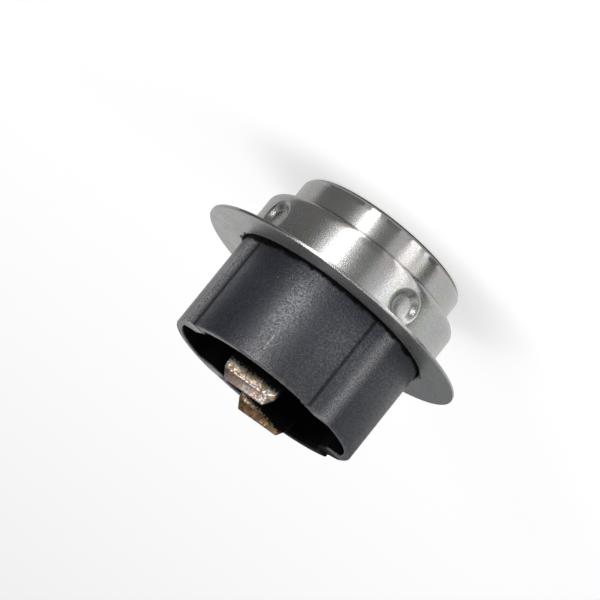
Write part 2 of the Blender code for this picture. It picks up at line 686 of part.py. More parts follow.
def make_terminal(name, side, foot_bottom, material):
    """Push-on blade folded outwards into a foot at its lower end."""
    outline, holes, lines, (bend_start, bend_end, middle_bend) = blade_blank(foot_bottom)
    points, faces = triangulate(outline, holes, lines)
    mesh_data = bmesh.new()
    skins = ([], [])
    for point in points:
        across, along = point
        if along <= bend_start:
            middle = Vector((across, BLADE_OFFSET, BLADE_TIP - along))
            normal = Vector((0.0, 1.0, 0.0))
        elif along < bend_end:
            turned_by = (along - bend_start) / middle_bend
            y = BLADE_OFFSET + middle_bend * (1.0 - math.cos(turned_by))
            z = BLADE_TIP - bend_start - middle_bend * math.sin(turned_by)
            middle = Vector((across, y, z))
            normal = Vector((0.0, math.cos(turned_by), math.sin(turned_by)))
        else:
            y = BLADE_OFFSET + middle_bend + (along - bend_end)
            middle = Vector((across, y, BLADE_TIP - bend_start - middle_bend))
            normal = Vector((0.0, 0.0, 1.0))
        half = BLADE_THICKNESS / 2
        if on_tip_edge(across, along):
            half -= BLADE_BEVEL_DEPTH
        for skin, sign in zip(skins, (-1, 1)):
            spot = middle + normal * sign * half
            skin.append(mesh_data.verts.new((spot.x * side, spot.y * side, spot.z)))
    close_sheet(mesh_data, faces, skins[0], skins[1])
    return place(name, mesh_data, material)


def shroud_angles():
    """Directions at which the shroud's rings have a point, in degrees."""
    ramp_end = RAMP_START + RAMP_SPAN
    pad_start = POCKET_END + PAD_BLEND
    pad_end = pad_start + PAD_SPAN
    breaks = [0.0, POCKET_END, pad_start, RAMP_START, RAMP_START + RAMP_SPAN / 2, ramp_end]
    breaks += [pad_end, pad_end + PAD_STEP]
    around = []
    for value in breaks:
        around += [value, 180.0 - value, 180.0 + value, (360.0 - value) % 360.0]
    around += [LIP_START - LIP_RAMP, LIP_START, LIP_END, LIP_END + LIP_RAMP]
    around = sorted(set(round(value, 6) for value in around))
    filled = []
    for start, end in zip(around, around[1:] + [around[0] + 360.0]):
        parts = max(1, math.ceil((end - start) / SHROUD_STEP))
        filled += [start + (end - start) * part / parts for part in range(parts)]
    return filled


def fold_angle(degrees):
    """The same direction brought into the quadrant from 0 to 90 degrees."""
    folded = degrees % 180.0
    return min(folded, 180.0 - folded)


def on_chord(angle, first_radius, first_angle, second_radius, second_angle):
    """Radius, at one direction, of the straight line between two polar points."""
    spread = math.sin(math.radians(second_angle - first_angle))
    before = first_radius * math.sin(math.radians(angle - first_angle))
    after = second_radius * math.sin(math.radians(second_angle - angle))
    return first_radius * second_radius * spread / (before + after)


def along_steps(angle, steps):
    """Radius at a direction, from (direction, radius) points joined by straight walls."""
    for (start, low), (end, high) in zip(steps, steps[1:]):
        if start <= angle <= end:
            return on_chord(angle, low, start, high, end) if low != high else low
    return steps[-1][1]


def outer_radius(degrees):
    """Outside of the shroud: lobes, sloping steps and recessed panels."""
    ramp_end = RAMP_START + RAMP_SPAN
    steps = [(0.0, LOBE_RADIUS), (RAMP_START, LOBE_RADIUS), (ramp_end, PANEL_RADIUS), (90.0, PANEL_RADIUS)]
    return along_steps(fold_angle(degrees), steps)


def inner_radius(degrees):
    """Inside of the mouth: lobe pockets, thick pads at the steps, and panels."""
    pad_start = POCKET_END + PAD_BLEND
    pad_end = pad_start + PAD_SPAN
    steps = [(0.0, LOBE_INNER), (POCKET_END, LOBE_INNER), (pad_start, PAD_INNER), (pad_end, PAD_INNER)]
    steps += [(pad_end + PAD_STEP, PANEL_INNER), (90.0, PANEL_INNER)]
    return along_steps(fold_angle(degrees), steps)


def rim_height(degrees):
    """Height of the shroud's rim, with the raised lip on the far panel."""
    if LIP_START <= degrees <= LIP_END:
        return SHROUD_TOP + LIP_RISE
    return SHROUD_TOP


def shroud_ring(mesh_data, angles, radius_at, height_at):
    """One ring of the housing, with its radius and height given as functions."""
    ring = []
    for degrees in angles:
        angle = math.radians(degrees)
        radius = radius_at(degrees)
        spot = (radius * math.cos(angle), radius * math.sin(angle), height_at(degrees))
        ring.append(mesh_data.verts.new(spot))
    return ring


def housing_rings():
    """Rings from the mouth's floor, over the rim, down to the skirt and up to the roof."""
    edge = SHROUD_EDGE
    inner = inner_radius
    outer = outer_radius
    return [
        (inner, lambda a: MOUTH_FLOOR),
        (inner, lambda a: rim_height(a) - edge),
        (lambda a: inner(a) + edge, rim_height),
        (lambda a: outer(a) - edge, rim_height),
        (outer, lambda a: rim_height(a) - edge),
        (outer, lambda a: PLUG_TOP),
        (lambda a: LOBE_RADIUS, lambda a: PLUG_TOP - PLUG_LEDGE),
        (lambda a: LOBE_RADIUS, lambda a: SKIRT_BOTTOM + SKIRT_CHAMFER),
        (lambda a: LOBE_RADIUS - SKIRT_CHAMFER, lambda a: SKIRT_BOTTOM),
        (lambda a: SKIRT_INNER, lambda a: SKIRT_BOTTOM),
        (lambda a: SKIRT_INNER, lambda a: BASE_TOP + SEAT_GAP),
        (lambda a: CHAMBER_RADIUS, lambda a: BASE_TOP + SEAT_GAP),
        (lambda a: CHAMBER_RADIUS, lambda a: ROOF),
    ]


def blade_slots(grow):
    """Rectangles round the two blades, as outlines in the XY plane."""
    half_x = BLADE_WIDTH / 2 + grow
    half_y = BLADE_THICKNESS / 2 + grow
    slots = []
    for y in (BLADE_OFFSET, -BLADE_OFFSET):
        near = y - half_y
        far = y + half_y
        slots.append([(-half_x, near), (half_x, near), (half_x, far), (-half_x, far)])
    return slots


def make_connector_housing(material):
    """One moulding: shroud, floor with two slots, switch chamber, and plug with four pockets."""
    angles = shroud_angles()
    mesh_data = bmesh.new()
    rings = [shroud_ring(mesh_data, angles, radius, height) for radius, height in housing_rings()]
    floor_middle = [mesh_data.verts.new((0.0, 0.0, MOUTH_FLOOR))]
    roof_middle = [mesh_data.verts.new((0.0, 0.0, ROOF))]
    rings = [floor_middle] + rings + [roof_middle]
    for first, second in zip(rings, rings[1:]):
        bridge(mesh_data, first, second)
    housing = place("connector_housing", mesh_data, material)
    cutters = bmesh.new()
    for slot in blade_slots(SLOT_GAP):
        extrude_flat(cutters, slot, [], ROOF - SHEET, MOUTH_FLOOR + SHEET)
    cut_or_join(housing, place("blade_slots", cutters, None), "DIFFERENCE")
    tip = DRUM_RADIUS - DIMPLE_DEPTH - SHEET
    tip_radius = DIMPLE_TIP_RADIUS + dimple_skin() + POCKET_GAP
    mouth = DRUM_RADIUS
    mouth_radius = dimple_radius_at(mouth, tip, tip_radius) - POCKET_GAP / 2
    pockets = radial_cones("dimple_pockets", mouth, mouth_radius, tip - POCKET_GAP, tip_radius)
    cut_or_join(housing, pockets, "DIFFERENCE")
    return housing


def make_sealing_resin(material):
    """Poured resin that fills the mouth's floor round the blades."""
    outline = []
    for degrees in shroud_angles():
        radius = inner_radius(degrees) - SEAT_GAP
        angle = math.radians(degrees)
        outline.append((radius * math.cos(angle), radius * math.sin(angle)))
    low = MOUTH_FLOOR + RIM_STEP
    return plate("sealing_resin", outline, blade_slots(SLOT_GAP), low, low + RESIN_THICKNESS, material)


def build():
    """Make every piece of the thermostat."""
    clear_scene()
    steel = finish("drawn_steel", (0.45, 0.45, 0.44), 0.32, 1.0)
    plastic = finish("dark_plastic", (0.055, 0.06, 0.07), 0.5, 0.0)
    brass = finish("worn_brass", (0.52, 0.42, 0.27), 0.45, 1.0)
    bimetal = finish("bimetal", (0.5, 0.47, 0.42), 0.35, 1.0)
    copper = finish("spring_copper", (0.7, 0.38, 0.22), 0.3, 1.0)
    silver = finish("contact_silver", (0.8, 0.8, 0.78), 0.3, 1.0)
    phenolic = finish("brown_phenolic", (0.1, 0.05, 0.03), 0.5, 0.0)
    ceramic = finish("white_ceramic", (0.8, 0.78, 0.72), 0.4, 0.0)
    film = finish("amber_film", (0.6, 0.3, 0.06), 0.3, 0.0)
    rubber = finish("black_rubber", (0.03, 0.03, 0.03), 0.7, 0.0)
    resin = finish("black_resin", (0.015, 0.015, 0.018), 0.25, 0.0)
    make_sensing_cap(steel)
    make_bimetal_disc(bimetal)
    make_disc_ring(brass)
    make_pin_guide(phenolic)
    make_transfer_pin(ceramic)
    film_outer = BASE_RADIUS - FILM_MARGIN
    flat_ring("insulating_film", PIN_HOLE_RADIUS, film_outer, FILM_BOTTOM, FILM_TOP, film, DISC_STEPS)
    make_switch_base(phenolic)
    arm = make_moving_arm(copper)
    make_moving_contact(silver, arm)
    make_contact_strip(brass)
    make_fixed_contact(silver)
    for name, side, low in (("arm_washer", 1, ARM_WASHER_BOTTOM), ("strip_washer", -1, STRIP_WASHER_BOTTOM)):
        center = (0.0, side * RIVET_OFFSET)
        flat_ring(name, HOLE_RADIUS, WASHER_RADIUS, low, low + WASHER_THICKNESS, brass, SMALL_STEPS, center)
    make_rivet("arm_rivet", 1, ARM_HEAD_BOTTOM, brass)
    make_rivet("strip_rivet", -1, STRIP_HEAD_BOTTOM, brass)
    make_terminal("arm_terminal", 1, ARM_FOOT_BOTTOM, brass)
    make_terminal("strip_terminal", -1, STRIP_FOOT_BOTTOM, brass)
    seal_inner = CUP_RADIUS + SEAL_INSET
    seal_outer = seal_inner + SEAL_WIDTH
    seal_top = SEAL_BOTTOM + SEAL_THICKNESS
    flat_ring("sealing_ring", seal_inner, seal_outer, SEAL_BOTTOM, seal_top, rubber, ROUND_STEPS)
    make_connector_housing(plastic)
    make_sealing_resin(resin)


build()
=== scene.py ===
# %% [markdown]
# Dressing a snap-disc thermostat
#
# The frame is a small bimetal thermostat: a deep-drawn steel cap, a dark moulded connector shroud
# crimped into it, and two push-on blades. This lesson gives each visible piece its fine surface
# and its finish, lights it like a product picture, and leaves every size where the frame has it.

# %% Load the frame
import json
import math

import bmesh
import bpy
import numpy as np
from mathutils import Matrix, Vector
from mathutils.geometry import delaunay_2d_cdt


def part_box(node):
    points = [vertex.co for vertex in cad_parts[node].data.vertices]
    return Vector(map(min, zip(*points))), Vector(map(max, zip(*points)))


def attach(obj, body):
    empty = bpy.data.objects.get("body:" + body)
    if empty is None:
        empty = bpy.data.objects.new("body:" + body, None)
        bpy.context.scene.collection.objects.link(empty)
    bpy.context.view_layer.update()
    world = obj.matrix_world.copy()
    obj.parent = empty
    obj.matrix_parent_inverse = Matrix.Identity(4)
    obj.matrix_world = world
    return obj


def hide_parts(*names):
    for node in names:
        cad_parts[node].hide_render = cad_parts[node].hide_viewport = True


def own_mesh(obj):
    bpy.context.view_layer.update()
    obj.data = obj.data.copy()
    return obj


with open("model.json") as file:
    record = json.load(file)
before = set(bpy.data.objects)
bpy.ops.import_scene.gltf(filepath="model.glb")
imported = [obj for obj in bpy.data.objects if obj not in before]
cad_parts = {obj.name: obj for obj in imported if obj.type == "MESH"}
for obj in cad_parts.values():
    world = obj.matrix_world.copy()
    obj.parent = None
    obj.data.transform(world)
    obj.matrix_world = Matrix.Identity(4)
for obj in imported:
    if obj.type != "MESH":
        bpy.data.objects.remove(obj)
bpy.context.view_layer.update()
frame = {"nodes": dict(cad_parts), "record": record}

MM = 0.001
WHITE = (1.0, 1.0, 1.0, 1.0)
nodes = frame["nodes"]
bodies = frame["record"]["behaviour"]["bodies"]
body_of_node = {name: body for body, names in bodies.items() for name in names}
print("pieces in the frame:", len(nodes))


def put_in_scene(name, data):
    """A new object with the given data, linked to the scene."""
    made = bpy.data.objects.new(name, data)
    bpy.context.scene.collection.objects.link(made)
    return made


# %% [markdown]
# The camera comes first, because every later choice is judged through it. The picture was taken
# with a long lens from a little above the flange, and the thermostat lies rolled over in it, so
# that its mouth points to the lower left. A roll of the camera gives the same picture while the
# part still stands on its sensing face.

# %% Place the camera
PHOTO_WIDTH = 600.0
SENSOR_WIDTH = 36.0
FOCAL_PIXELS = 3834.5
CAMERA_AZIMUTH = -18.8
CAMERA_ELEVATION = 11.86
CAMERA_DISTANCE = 390 * MM
CAMERA_ROLL = 141.21
CLIP_START = 10 * MM
CLIP_END = 20.0
FLANGE_PIXEL_X = 330.17
FLANGE_PIXEL_Y = 306.91
FLANGE_FACE = 9.15 * MM


def direction(azimuth, elevation):
    """Unit vector from the thermostat, azimuth 0 towards -Y and 90 towards +X, in degrees."""
    turn = math.radians(azimuth)
    rise = math.radians(elevation)
    flat = math.cos(rise)
    return Vector((math.sin(turn) * flat, -math.cos(turn) * flat, math.sin(rise)))


flange_middle = Vector((0.0, 0.0, FLANGE_FACE))
backwards = direction(CAMERA_AZIMUTH, CAMERA_ELEVATION)
level_right = Vector((0.0, 0.0, 1.0)).cross(backwards).normalized()
level_up = backwards.cross(level_right)
roll = math.radians(CAMERA_ROLL)
picture_right = level_right * math.cos(roll) - level_up * math.sin(roll)
picture_up = level_right * math.sin(roll) + level_up * math.cos(roll)
metres_per_pixel = CAMERA_DISTANCE / FOCAL_PIXELS
off_right = (FLANGE_PIXEL_X - PHOTO_WIDTH / 2) * metres_per_pixel
off_down = (FLANGE_PIXEL_Y - PHOTO_WIDTH / 2) * metres_per_pixel
aim = flange_middle - picture_right * off_right + picture_up * off_down
eye = flange_middle + backwards * CAMERA_DISTANCE
camera_back = (eye - aim).normalized()
camera_right = picture_up.cross(camera_back).normalized()
camera_up = camera_back.cross(camera_right)

camera_data = bpy.data.cameras.new("camera")
camera_data.sensor_width = SENSOR_WIDTH
camera_data.lens = FOCAL_PIXELS * SENSOR_WIDTH / PHOTO_WIDTH
camera_data.clip_start = CLIP_START
camera_data.clip_end = CLIP_END
camera = put_in_scene("camera", camera_data)
turn_matrix = Matrix((camera_right, camera_up, camera_back)).transposed().to_4x4()
camera.matrix_world = Matrix.Translation(eye) @ turn_matrix
bpy.context.scene.camera = camera
print("lens of", round(camera_data.lens, 1), "mm")

# %% [markdown]
# Shader trees are easier to read when one line makes one node. The helpers below add a node with its
# settings, do one step of arithmetic, and blend colours. A value may be a plain number or another
# node's socket, and fill() sets it or links it accordingly. A node and a socket know which tree they
# are in, so only a helper that starts from nothing has to be told the tree.

# %% Helpers for shader nodes


def fill(socket, value):
    """Link an input to another node's socket, or set it to a plain value."""
    if isinstance(value, bpy.types.NodeSocket):
        socket.id_data.links.new(value, socket)
    else:
        socket.default_value = value


def feed(node, **inputs):
    """Fill a node's inputs by name, or by their place as i0, i1 and so on."""
    for key, value in inputs.items():
        by_place = key[0] == "i" and key[1:].isdigit()
        fill(node.inputs[int(key[1:]) if by_place else key.replace("_", " ")], value)


def add(tree, kind, settings=None, **inputs):
    """Add a node, set its properties and fill its inputs."""
    node = tree.nodes.new(kind)
    for key, value in (settings or {}).items():
        setattr(node, key, value)
    feed(node, **inputs)
    return node


def calc(operation, *values):
    """One step of arithmetic, in the tree of the first socket among its values."""
    tree = next(value.id_data for value in values if isinstance(value, bpy.types.NodeSocket))
    numbers = {f"i{place}": value for place, value in enumerate(values)}
    return add(tree, "ShaderNodeMath", {"operation": operation}, **numbers).outputs[0]


def less(first, second):
    """The first value less the second."""
    return calc("SUBTRACT", first, second)


def larger(first, second):
    """The larger of two values."""
    return calc("MAXIMUM", first, second)


def times(first, second):
    """Two values multiplied."""
    return calc("MULTIPLY", first, second)


def times_plus(first, second, third):
    """Two values multiplied, with a third one added."""
    return calc("MULTIPLY_ADD", first, second, third)


def ramp(value, low, high, start=0.0, end=1.0):
    """Map a value from one range to another with a smooth step, held at both ends."""
    smooth = {"interpolation_type": "SMOOTHSTEP"}
    limits = {"From_Min": low, "From_Max": high, "To_Min": start, "To_Max": end}
    return add(value.id_data, "ShaderNodeMapRange", smooth, Value=value, **limits).outputs["Result"]


def mix_color(share, first, second, blend="MIX"):
    """Blend two colours by a mask."""
    kind = {"data_type": "RGBA", "blend_type": blend}
    return add(share.id_data, "ShaderNodeMix", kind, i0=share, i6=first, i7=second).outputs[2]


def lay_over(tint, *layers):
    """Lay colours over a tint one after another, each by its own mask."""
    for share, color in layers:
        tint = mix_color(share, tint, color)
    return tint


def noise(tree, settings=None, **inputs):
    """Smooth noise from 0 to 1."""
    return add(tree, "ShaderNodeTexNoise", settings, **inputs).outputs["Fac"]


def object_place(tree):
    """The point on the object as a vector, in metres."""
    return add(tree, "ShaderNodeTexCoord").outputs["Object"]


def position(tree):
    """The point on the object as X, Y and Z, in millimetres."""
    place = add(tree, "ShaderNodeVectorMath", {"operation": "SCALE"}, i0=object_place(tree), Scale=1.0 / MM)
    return tuple(add(tree, "ShaderNodeSeparateXYZ", Vector=place.outputs[0]).outputs)


def from_axis(x, y):
    """Distance from the thermostat's axis."""
    return calc("SQRT", times_plus(x, x, times(y, y)))


def effect_group(name, inputs, outputs):
    """Open a node group with float inputs and the given outputs, ready to be filled."""
    tree = bpy.data.node_groups.new(name, "ShaderNodeTree")
    for label, value in inputs.items():
        socket = tree.interface.new_socket(label, in_out="INPUT", socket_type="NodeSocketFloat")
        socket.default_value = value
    for label in outputs:
        tree.interface.new_socket(label, in_out="OUTPUT", socket_type="NodeSocketFloat")
    start = tree.nodes.new("NodeGroupInput")
    return tree, start.outputs, tree.nodes.new("NodeGroupOutput")


def use_group(tree, group, **inputs):
    """Place an effect group in a material with its own values."""
    return add(tree, "ShaderNodeGroup", {"node_tree": group}, **inputs).outputs


# %% [markdown]
# Four effects serve the finishes, most of them more than once. Grain is the fine tooth of a surface:
# sandblasted mould steel prints it into plastic, and rolled sheet has it too. Each group measures in
# millimetres, so that a value can be compared with the real thing.

# %% Effect group: grain
tree, given, result = effect_group("grain", {"Size": 0.1, "Softness": 0.5}, ["Height", "Speckle"])
grain_group = tree
density = calc("DIVIDE", 1.0 / MM, given["Size"])
height = noise(tree, Vector=object_place(tree), Scale=density, Detail=3.0, Roughness=given["Softness"])
feed(result, Height=height, Speckle=ramp(height, 0.56, 0.68))
print("effect:", tree.name)

# %% [markdown]
# Clouds are the slow changes of a handled surface: thin films, fingerprints and uneven pickling.
# They make roughness and tint wander by a few percent over several millimetres. With a high
# contrast they turn into patches, and with a small size they make an edge ragged.

# %% Effect group: clouds
cloud_inputs = {"Size": 5.0, "Contrast": 1.0, "Seed": 0.0}
tree, given, result = effect_group("clouds", cloud_inputs, ["Amount"])
cloud_group = tree
density = calc("DIVIDE", 1.0 / MM, given["Size"])
drift = {"Vector": object_place(tree), "W": given["Seed"], "Scale": density, "Detail": 4.0}
centred = less(noise(tree, {"noise_dimensions": "4D"}, **drift), 0.5)
spread = times_plus(centred, given["Contrast"], 0.5)
feed(result, Amount=ramp(spread, 0.25, 0.75))
print("effect:", tree.name)


def clouds(tree, size, contrast, seed):
    """Place the clouds in a material."""
    return use_group(tree, cloud_group, Size=size, Contrast=contrast, Seed=seed)["Amount"]


# %% [markdown]
# Drawing lines: sheet that is pulled over a punch keeps long faint marks in the direction of the
# pull. They run up the walls of the cap and outwards on its flat faces, so the noise is read at the
# direction round the axis and hardly changes along the way from the centre to the rim.

# %% Effect group: drawing lines
tree, given, result = effect_group("drawing_lines", {"Count": 260.0, "Length": 3.0}, ["Height"])
line_group = tree
x, y, z = position(tree)
reach = from_axis(x, y)
slow = calc("DIVIDE", less(z, reach), given["Length"])
around_x = times(calc("DIVIDE", x, reach), given["Count"])
around_y = times(calc("DIVIDE", y, reach), given["Count"])
spot = add(tree, "ShaderNodeCombineXYZ", X=around_x, Y=around_y, Z=slow).outputs[0]
feed(result, Height=noise(tree, Vector=spot, Scale=0.35, Detail=3.0, Roughness=0.6))
print("effect:", tree.name)

# %% [markdown]
# Edges and corners: an outer edge is rubbed bright by handling, and an inner corner is darkened as
# painted shade. Both masks ask how much of a small ball round the point is filled: rays shot into the
# solid find the outer edges, and rays shot away from it find the inner corners.

# %% Effect group: edges and corners
BALL_RAYS = 12
tree, given, result = effect_group("edges_and_corners", {"Reach": 0.35, "Wear": 0.6}, ["Edge", "Corner"])
edge_group = tree
near = times(given["Reach"], MM)
solid = add(tree, "ShaderNodeAmbientOcclusion", {"inside": True, "samples": BALL_RAYS}, Distance=near)
open_air = add(tree, "ShaderNodeAmbientOcclusion", {"samples": BALL_RAYS}, Distance=near)
uneven = noise(tree, Vector=object_place(tree), Scale=2.5 / MM, Detail=5.0, Roughness=0.7)
thin = less(1.0, solid.outputs["AO"])
broken = times(times(thin, ramp(uneven, 0.3, 0.62)), given["Wear"])
# Painted shade: the inner-corner mask, which the finishes use to darken corners.
closed = less(1.0, open_air.outputs["AO"])
feed(result, Edge=ramp(broken, 0.06, 0.4), Corner=ramp(closed, 0.35, 0.85))
print("effect:", tree.name)

# %% [markdown]
# A material starts from a plain Principled shader. Its constant settings stay on the shader's own
# sockets, and only what changes over the surface is linked.

# %% Start a material


def start_material(name, **constants):
    """A new material, its tree and its shader, with constants such as Coat_IOR on the shader."""
    material = bpy.data.materials.new(name)
    material.use_nodes = True
    shader = material.node_tree.nodes["Principled BSDF"]
    feed(shader, **constants)
    return material, material.node_tree, shader


def set_bump(shader, height, depth, strength=1.0):
    """Feed a height through a Bump node. The depth is in millimetres."""
    depths = {"Distance": depth * MM, "Strength": strength}
    feed(shader, Normal=add(shader.id_data, "ShaderNodeBump", Height=height, **depths).outputs["Normal"])


# %% [markdown]
# The cap is austenitic stainless sheet, deep drawn and left as it came from the press. It is bright
# but not polished: a satin surface with faint drawing lines, a fine grain that breaks up the
# highlights, and a thin warm or greenish film in places. The flange was clamped while the drum was
# drawn, so it is rougher, with small pits, and it scatters some light. Painted shade darkens a ragged
# ring where it bends into the cap beside the shroud, the crease between cup and drum, and the inner
# corners.

# %% Finish: drawn steel
STEEL_PALE = (0.55, 0.555, 0.555, 1.0)
STEEL_DULL = (0.46, 0.465, 0.45, 1.0)
STEEL_ROSE = (0.60, 0.46, 0.44, 1.0)
STEEL_GREEN = (0.46, 0.52, 0.38, 1.0)
# Dark tint for the real pits on the flange, and for the painted shade in the bend, the crease and the
# corners.
STEEL_DIRT_AND_SHADE = (0.05, 0.05, 0.045, 1.0)
FLANGE_LEVEL = 9.1
FLANGE_SCATTER = 0.12
FLANGE_GLITTER = 1.6
FLANGE_RELIEF = 2.6
PIT_SIZE = 1.1
CREASE_LEVEL = 3.4
BEND_RADIUS = 11.5
BEND_LEVEL = 8.83
BEND_CREEP = 0.3
STEEL_BUMP = 0.012

steel, tree, shader = start_material("drawn_steel", Metallic=1.0)
dull = clouds(tree, size=5.5, contrast=1.5, seed=2.0)
rose = clouds(tree, size=2.6, contrast=2.0, seed=7.0)
green = clouds(tree, size=2.2, contrast=2.0, seed=11.0)
ragged = clouds(tree, size=0.9, contrast=2.2, seed=31.0)
corner = use_group(tree, edge_group, Reach=0.55, Wear=0.5)["Corner"]
fine = use_group(tree, grain_group, Size=0.15, Softness=0.6)["Height"]
drawn = use_group(tree, line_group, Count=420.0, Length=2.5)["Height"]
pitted = use_group(tree, grain_group, Size=PIT_SIZE, Softness=0.65)["Height"]
x, y, z = position(tree)
on_flange = ramp(z, FLANGE_LEVEL - 0.03, FLANGE_LEVEL)
glitter = ramp(fine, 0.35, 0.65, 0.0, 0.3)
glitter = times(glitter, times_plus(on_flange, FLANGE_GLITTER, 1.0))
pits = times(ramp(pitted, 0.6, 0.74, 0.0, 0.5), on_flange)
# Painted shade along the crease between cup and drum.
crease = ramp(z, CREASE_LEVEL - 0.4, CREASE_LEVEL - 0.12)
crease = times(crease, ramp(z, CREASE_LEVEL, CREASE_LEVEL + 0.3, 1.0, 0.0))
crease = times(crease, times_plus(dull, 0.45, 0.35))
# Painted shade: a ragged black ring where the flange bends into the cap beside the shroud, also made rough
# and less mirroring.
reach = times_plus(ragged, -BEND_CREEP, from_axis(x, y))
bend = ramp(reach, BEND_RADIUS - 0.1, BEND_RADIUS, 0.9, 0.0)
bend = times(bend, ramp(z, BEND_LEVEL, BEND_LEVEL + 0.06))
tint = lay_over(
    STEEL_PALE,
    (times(dull, 0.6), STEEL_DULL),
    (ramp(rose, 0.6, 1.0, 0.0, 0.2), STEEL_ROSE),
    (ramp(green, 0.65, 1.0, 0.0, 0.28), STEEL_GREEN),
)
tint = mix_color(glitter, tint, STEEL_DULL, "MULTIPLY")
# The pits are real; the corners, the crease and the bend get painted shade.
for dirt_and_shade in (pits, times(corner, 0.85), crease, bend):
    tint = mix_color(dirt_and_shade, tint, STEEL_DIRT_AND_SHADE)
sheen = ramp(fine, 0.3, 0.7, 0.16, 0.26)
sheen = times_plus(dull, 0.06, sheen)
sheen = times_plus(on_flange, 0.06, sheen)
sheen = larger(sheen, times(bend, 0.75))
scattered = larger(times(on_flange, FLANGE_SCATTER), bend)
mirroring = less(1.0, scattered)
feed(shader, Base_Color=tint, Roughness=sheen, Metallic=mirroring)
relief = times_plus(drawn, 0.15, fine)
relief = times(relief, times_plus(on_flange, FLANGE_RELIEF, 1.0))
set_bump(shader, relief, STEEL_BUMP)
print("finish:", steel.name)

# %% [markdown]
# The shroud is glass-filled plastic, nearly black with a blue-grey cast. Moulded in a blasted mould
# it is matt, its outer edges are rubbed pale, and short fibres show as fine light specks. The upright
# edges where the lobes end carry pale bands, partly rubbed wear and partly a painted highlight. One
# hairline scratch runs down the front panel below the rim. Hardly any light gets to the walls of
# the mouth, to the foot that stands in the cap, to the foot of each step and to a part of the rear
# rim, and these are painted black as shade. Each of these places is a mask of its own, made from the
# height and the direction round the axis.

# %% Masks on the shroud
# The lobe bands are partly rubbed wear and partly a painted highlight.
SCUFF_HIGHLIGHT_FROM = 28.0
SCUFF_HIGHLIGHT_PEAK = 36.0
SCUFF_HIGHLIGHT_TO = 41.0
SCUFF_HIGHLIGHT_SHIFT = 5.5
# Places of the painted shade: the step feet, the collar, the mouth and the rear rim.
FOOT_LINE = 46.6
FOOT_LINE_HALF = 1.5
COLLAR_BLACK = 9.15
COLLAR_END = 9.55
COLLAR_RAGGED = 0.3
MOUTH_RADIUS = 10.45
MOUTH_LIGHT = 20.28
REAR_RIM_START = 88.0
REAR_RIM_END = 150.0
REAR_RIM_LEVEL = 20.05
SCRATCH_ANGLE = -95.8
SCRATCH_TOP = 19.1
SCRATCH_END = 16.0
SCRATCH_LEAN = 0.006
SCRATCH_WAVER = 0.035
SCRATCH_WIDTH = 0.010


def lobe_angle(x, y):
    """Degrees away from the middle of the nearest lobe."""
    sideways = calc("ABSOLUTE", y)
    forwards = calc("ABSOLUTE", x)
    return calc("DEGREES", calc("ARCTAN2", sideways, forwards))


def scuff_and_highlight_mask(x, y):
    """Pale bands along the upright edges where the lobes end, partly rubbed wear and partly painted
    highlight, further round on the +X lobe.
    """
    right = calc("GREATER_THAN", x, 0.0)
    angle = times_plus(right, -SCUFF_HIGHLIGHT_SHIFT, lobe_angle(x, y))
    rise = ramp(angle, SCUFF_HIGHLIGHT_FROM, SCUFF_HIGHLIGHT_PEAK)
    return times(rise, ramp(angle, SCUFF_HIGHLIGHT_PEAK, SCUFF_HIGHLIGHT_TO, 1.0, 0.0))


def step_foot_shade_mask(x, y):
    """Painted shade: a dark line at the foot of each step."""
    away = less(lobe_angle(x, y), FOOT_LINE)
    away = calc("ABSOLUTE", away)
    return ramp(away, FOOT_LINE_HALF * 0.4, FOOT_LINE_HALF, 1.0, 0.0)


def collar_shade_mask(tree, z):
    """Painted shade on the foot of the shroud where it stands in the cap, with a ragged upper edge."""
    ragged = clouds(tree, size=1.3, contrast=1.8, seed=33.0)
    height = times_plus(ragged, -COLLAR_RAGGED, z)
    return ramp(height, COLLAR_BLACK, COLLAR_END, 1.0, 0.0)


def mouth_shade_mask(x, y, z):
    """Painted shade on the inner walls below the rim."""
    inwards = ramp(from_axis(x, y), MOUTH_RADIUS, MOUTH_RADIUS + 0.02, 1.0, 0.0)
    return times(inwards, ramp(z, MOUTH_LIGHT - 0.2, MOUTH_LIGHT, 1.0, 0.0))


def rear_rim_shade_mask(x, y, z):
    """Painted shade on the rear part of the rim, from inside the lip to beyond its end."""
    angle = calc("DEGREES", calc("ARCTAN2", y, x))
    start = ramp(angle, REAR_RIM_START, REAR_RIM_START + 6.0)
    end = ramp(angle, REAR_RIM_END - 8.0, REAR_RIM_END, 1.0, 0.0)
    top = ramp(z, REAR_RIM_LEVEL, REAR_RIM_LEVEL + 0.15)
    return times(times(start, end), top)


def scratch_mask(tree, x, y, z):
    """A thin, slightly wavering line on the front panel, fainter in places."""
    along = {"noise_dimensions": "1D"}
    waver = noise(tree, along, W=z, Scale=0.9, Detail=2.0)
    lean = times(less(SCRATCH_TOP, z), SCRATCH_LEAN)
    middle = less(math.radians(SCRATCH_ANGLE), lean)
    middle = times_plus(waver, SCRATCH_WAVER, middle)
    angle = calc("ARCTAN2", y, x)
    away = calc("ABSOLUTE", less(angle, middle))
    line = ramp(away, 0.0, SCRATCH_WIDTH, 1.0, 0.0)
    below = ramp(z, SCRATCH_TOP, SCRATCH_TOP - 0.5)
    above = ramp(z, SCRATCH_END, SCRATCH_END + 1.5)
    strength = ramp(noise(tree, along, W=z, Scale=4.0), 0.35, 0.6, 0.25, 1.0)
    return times(times(line, times(below, above)), strength)


# %% Finish: dark plastic
PLASTIC_DARK = (0.011, 0.012, 0.020, 1.0)
PLASTIC_BLUE = (0.015, 0.018, 0.032, 1.0)
# Pale tint for fibre specks, worn edges and the lobe bands, which are partly a painted highlight.
PLASTIC_PALE_AND_HIGHLIGHT = (0.25, 0.25, 0.26, 1.0)
# The black of the painted shade.
PLASTIC_SHADE_BLACK = (0.0015, 0.0015, 0.002, 1.0)
SCRATCH_PALE = (0.5, 0.5, 0.5, 1.0)
HANDLED_LOW = 9.8
HANDLED_MIDDLE = 13.2
HANDLED_HIGH = 18.5
PLASTIC_BUMP = 0.055

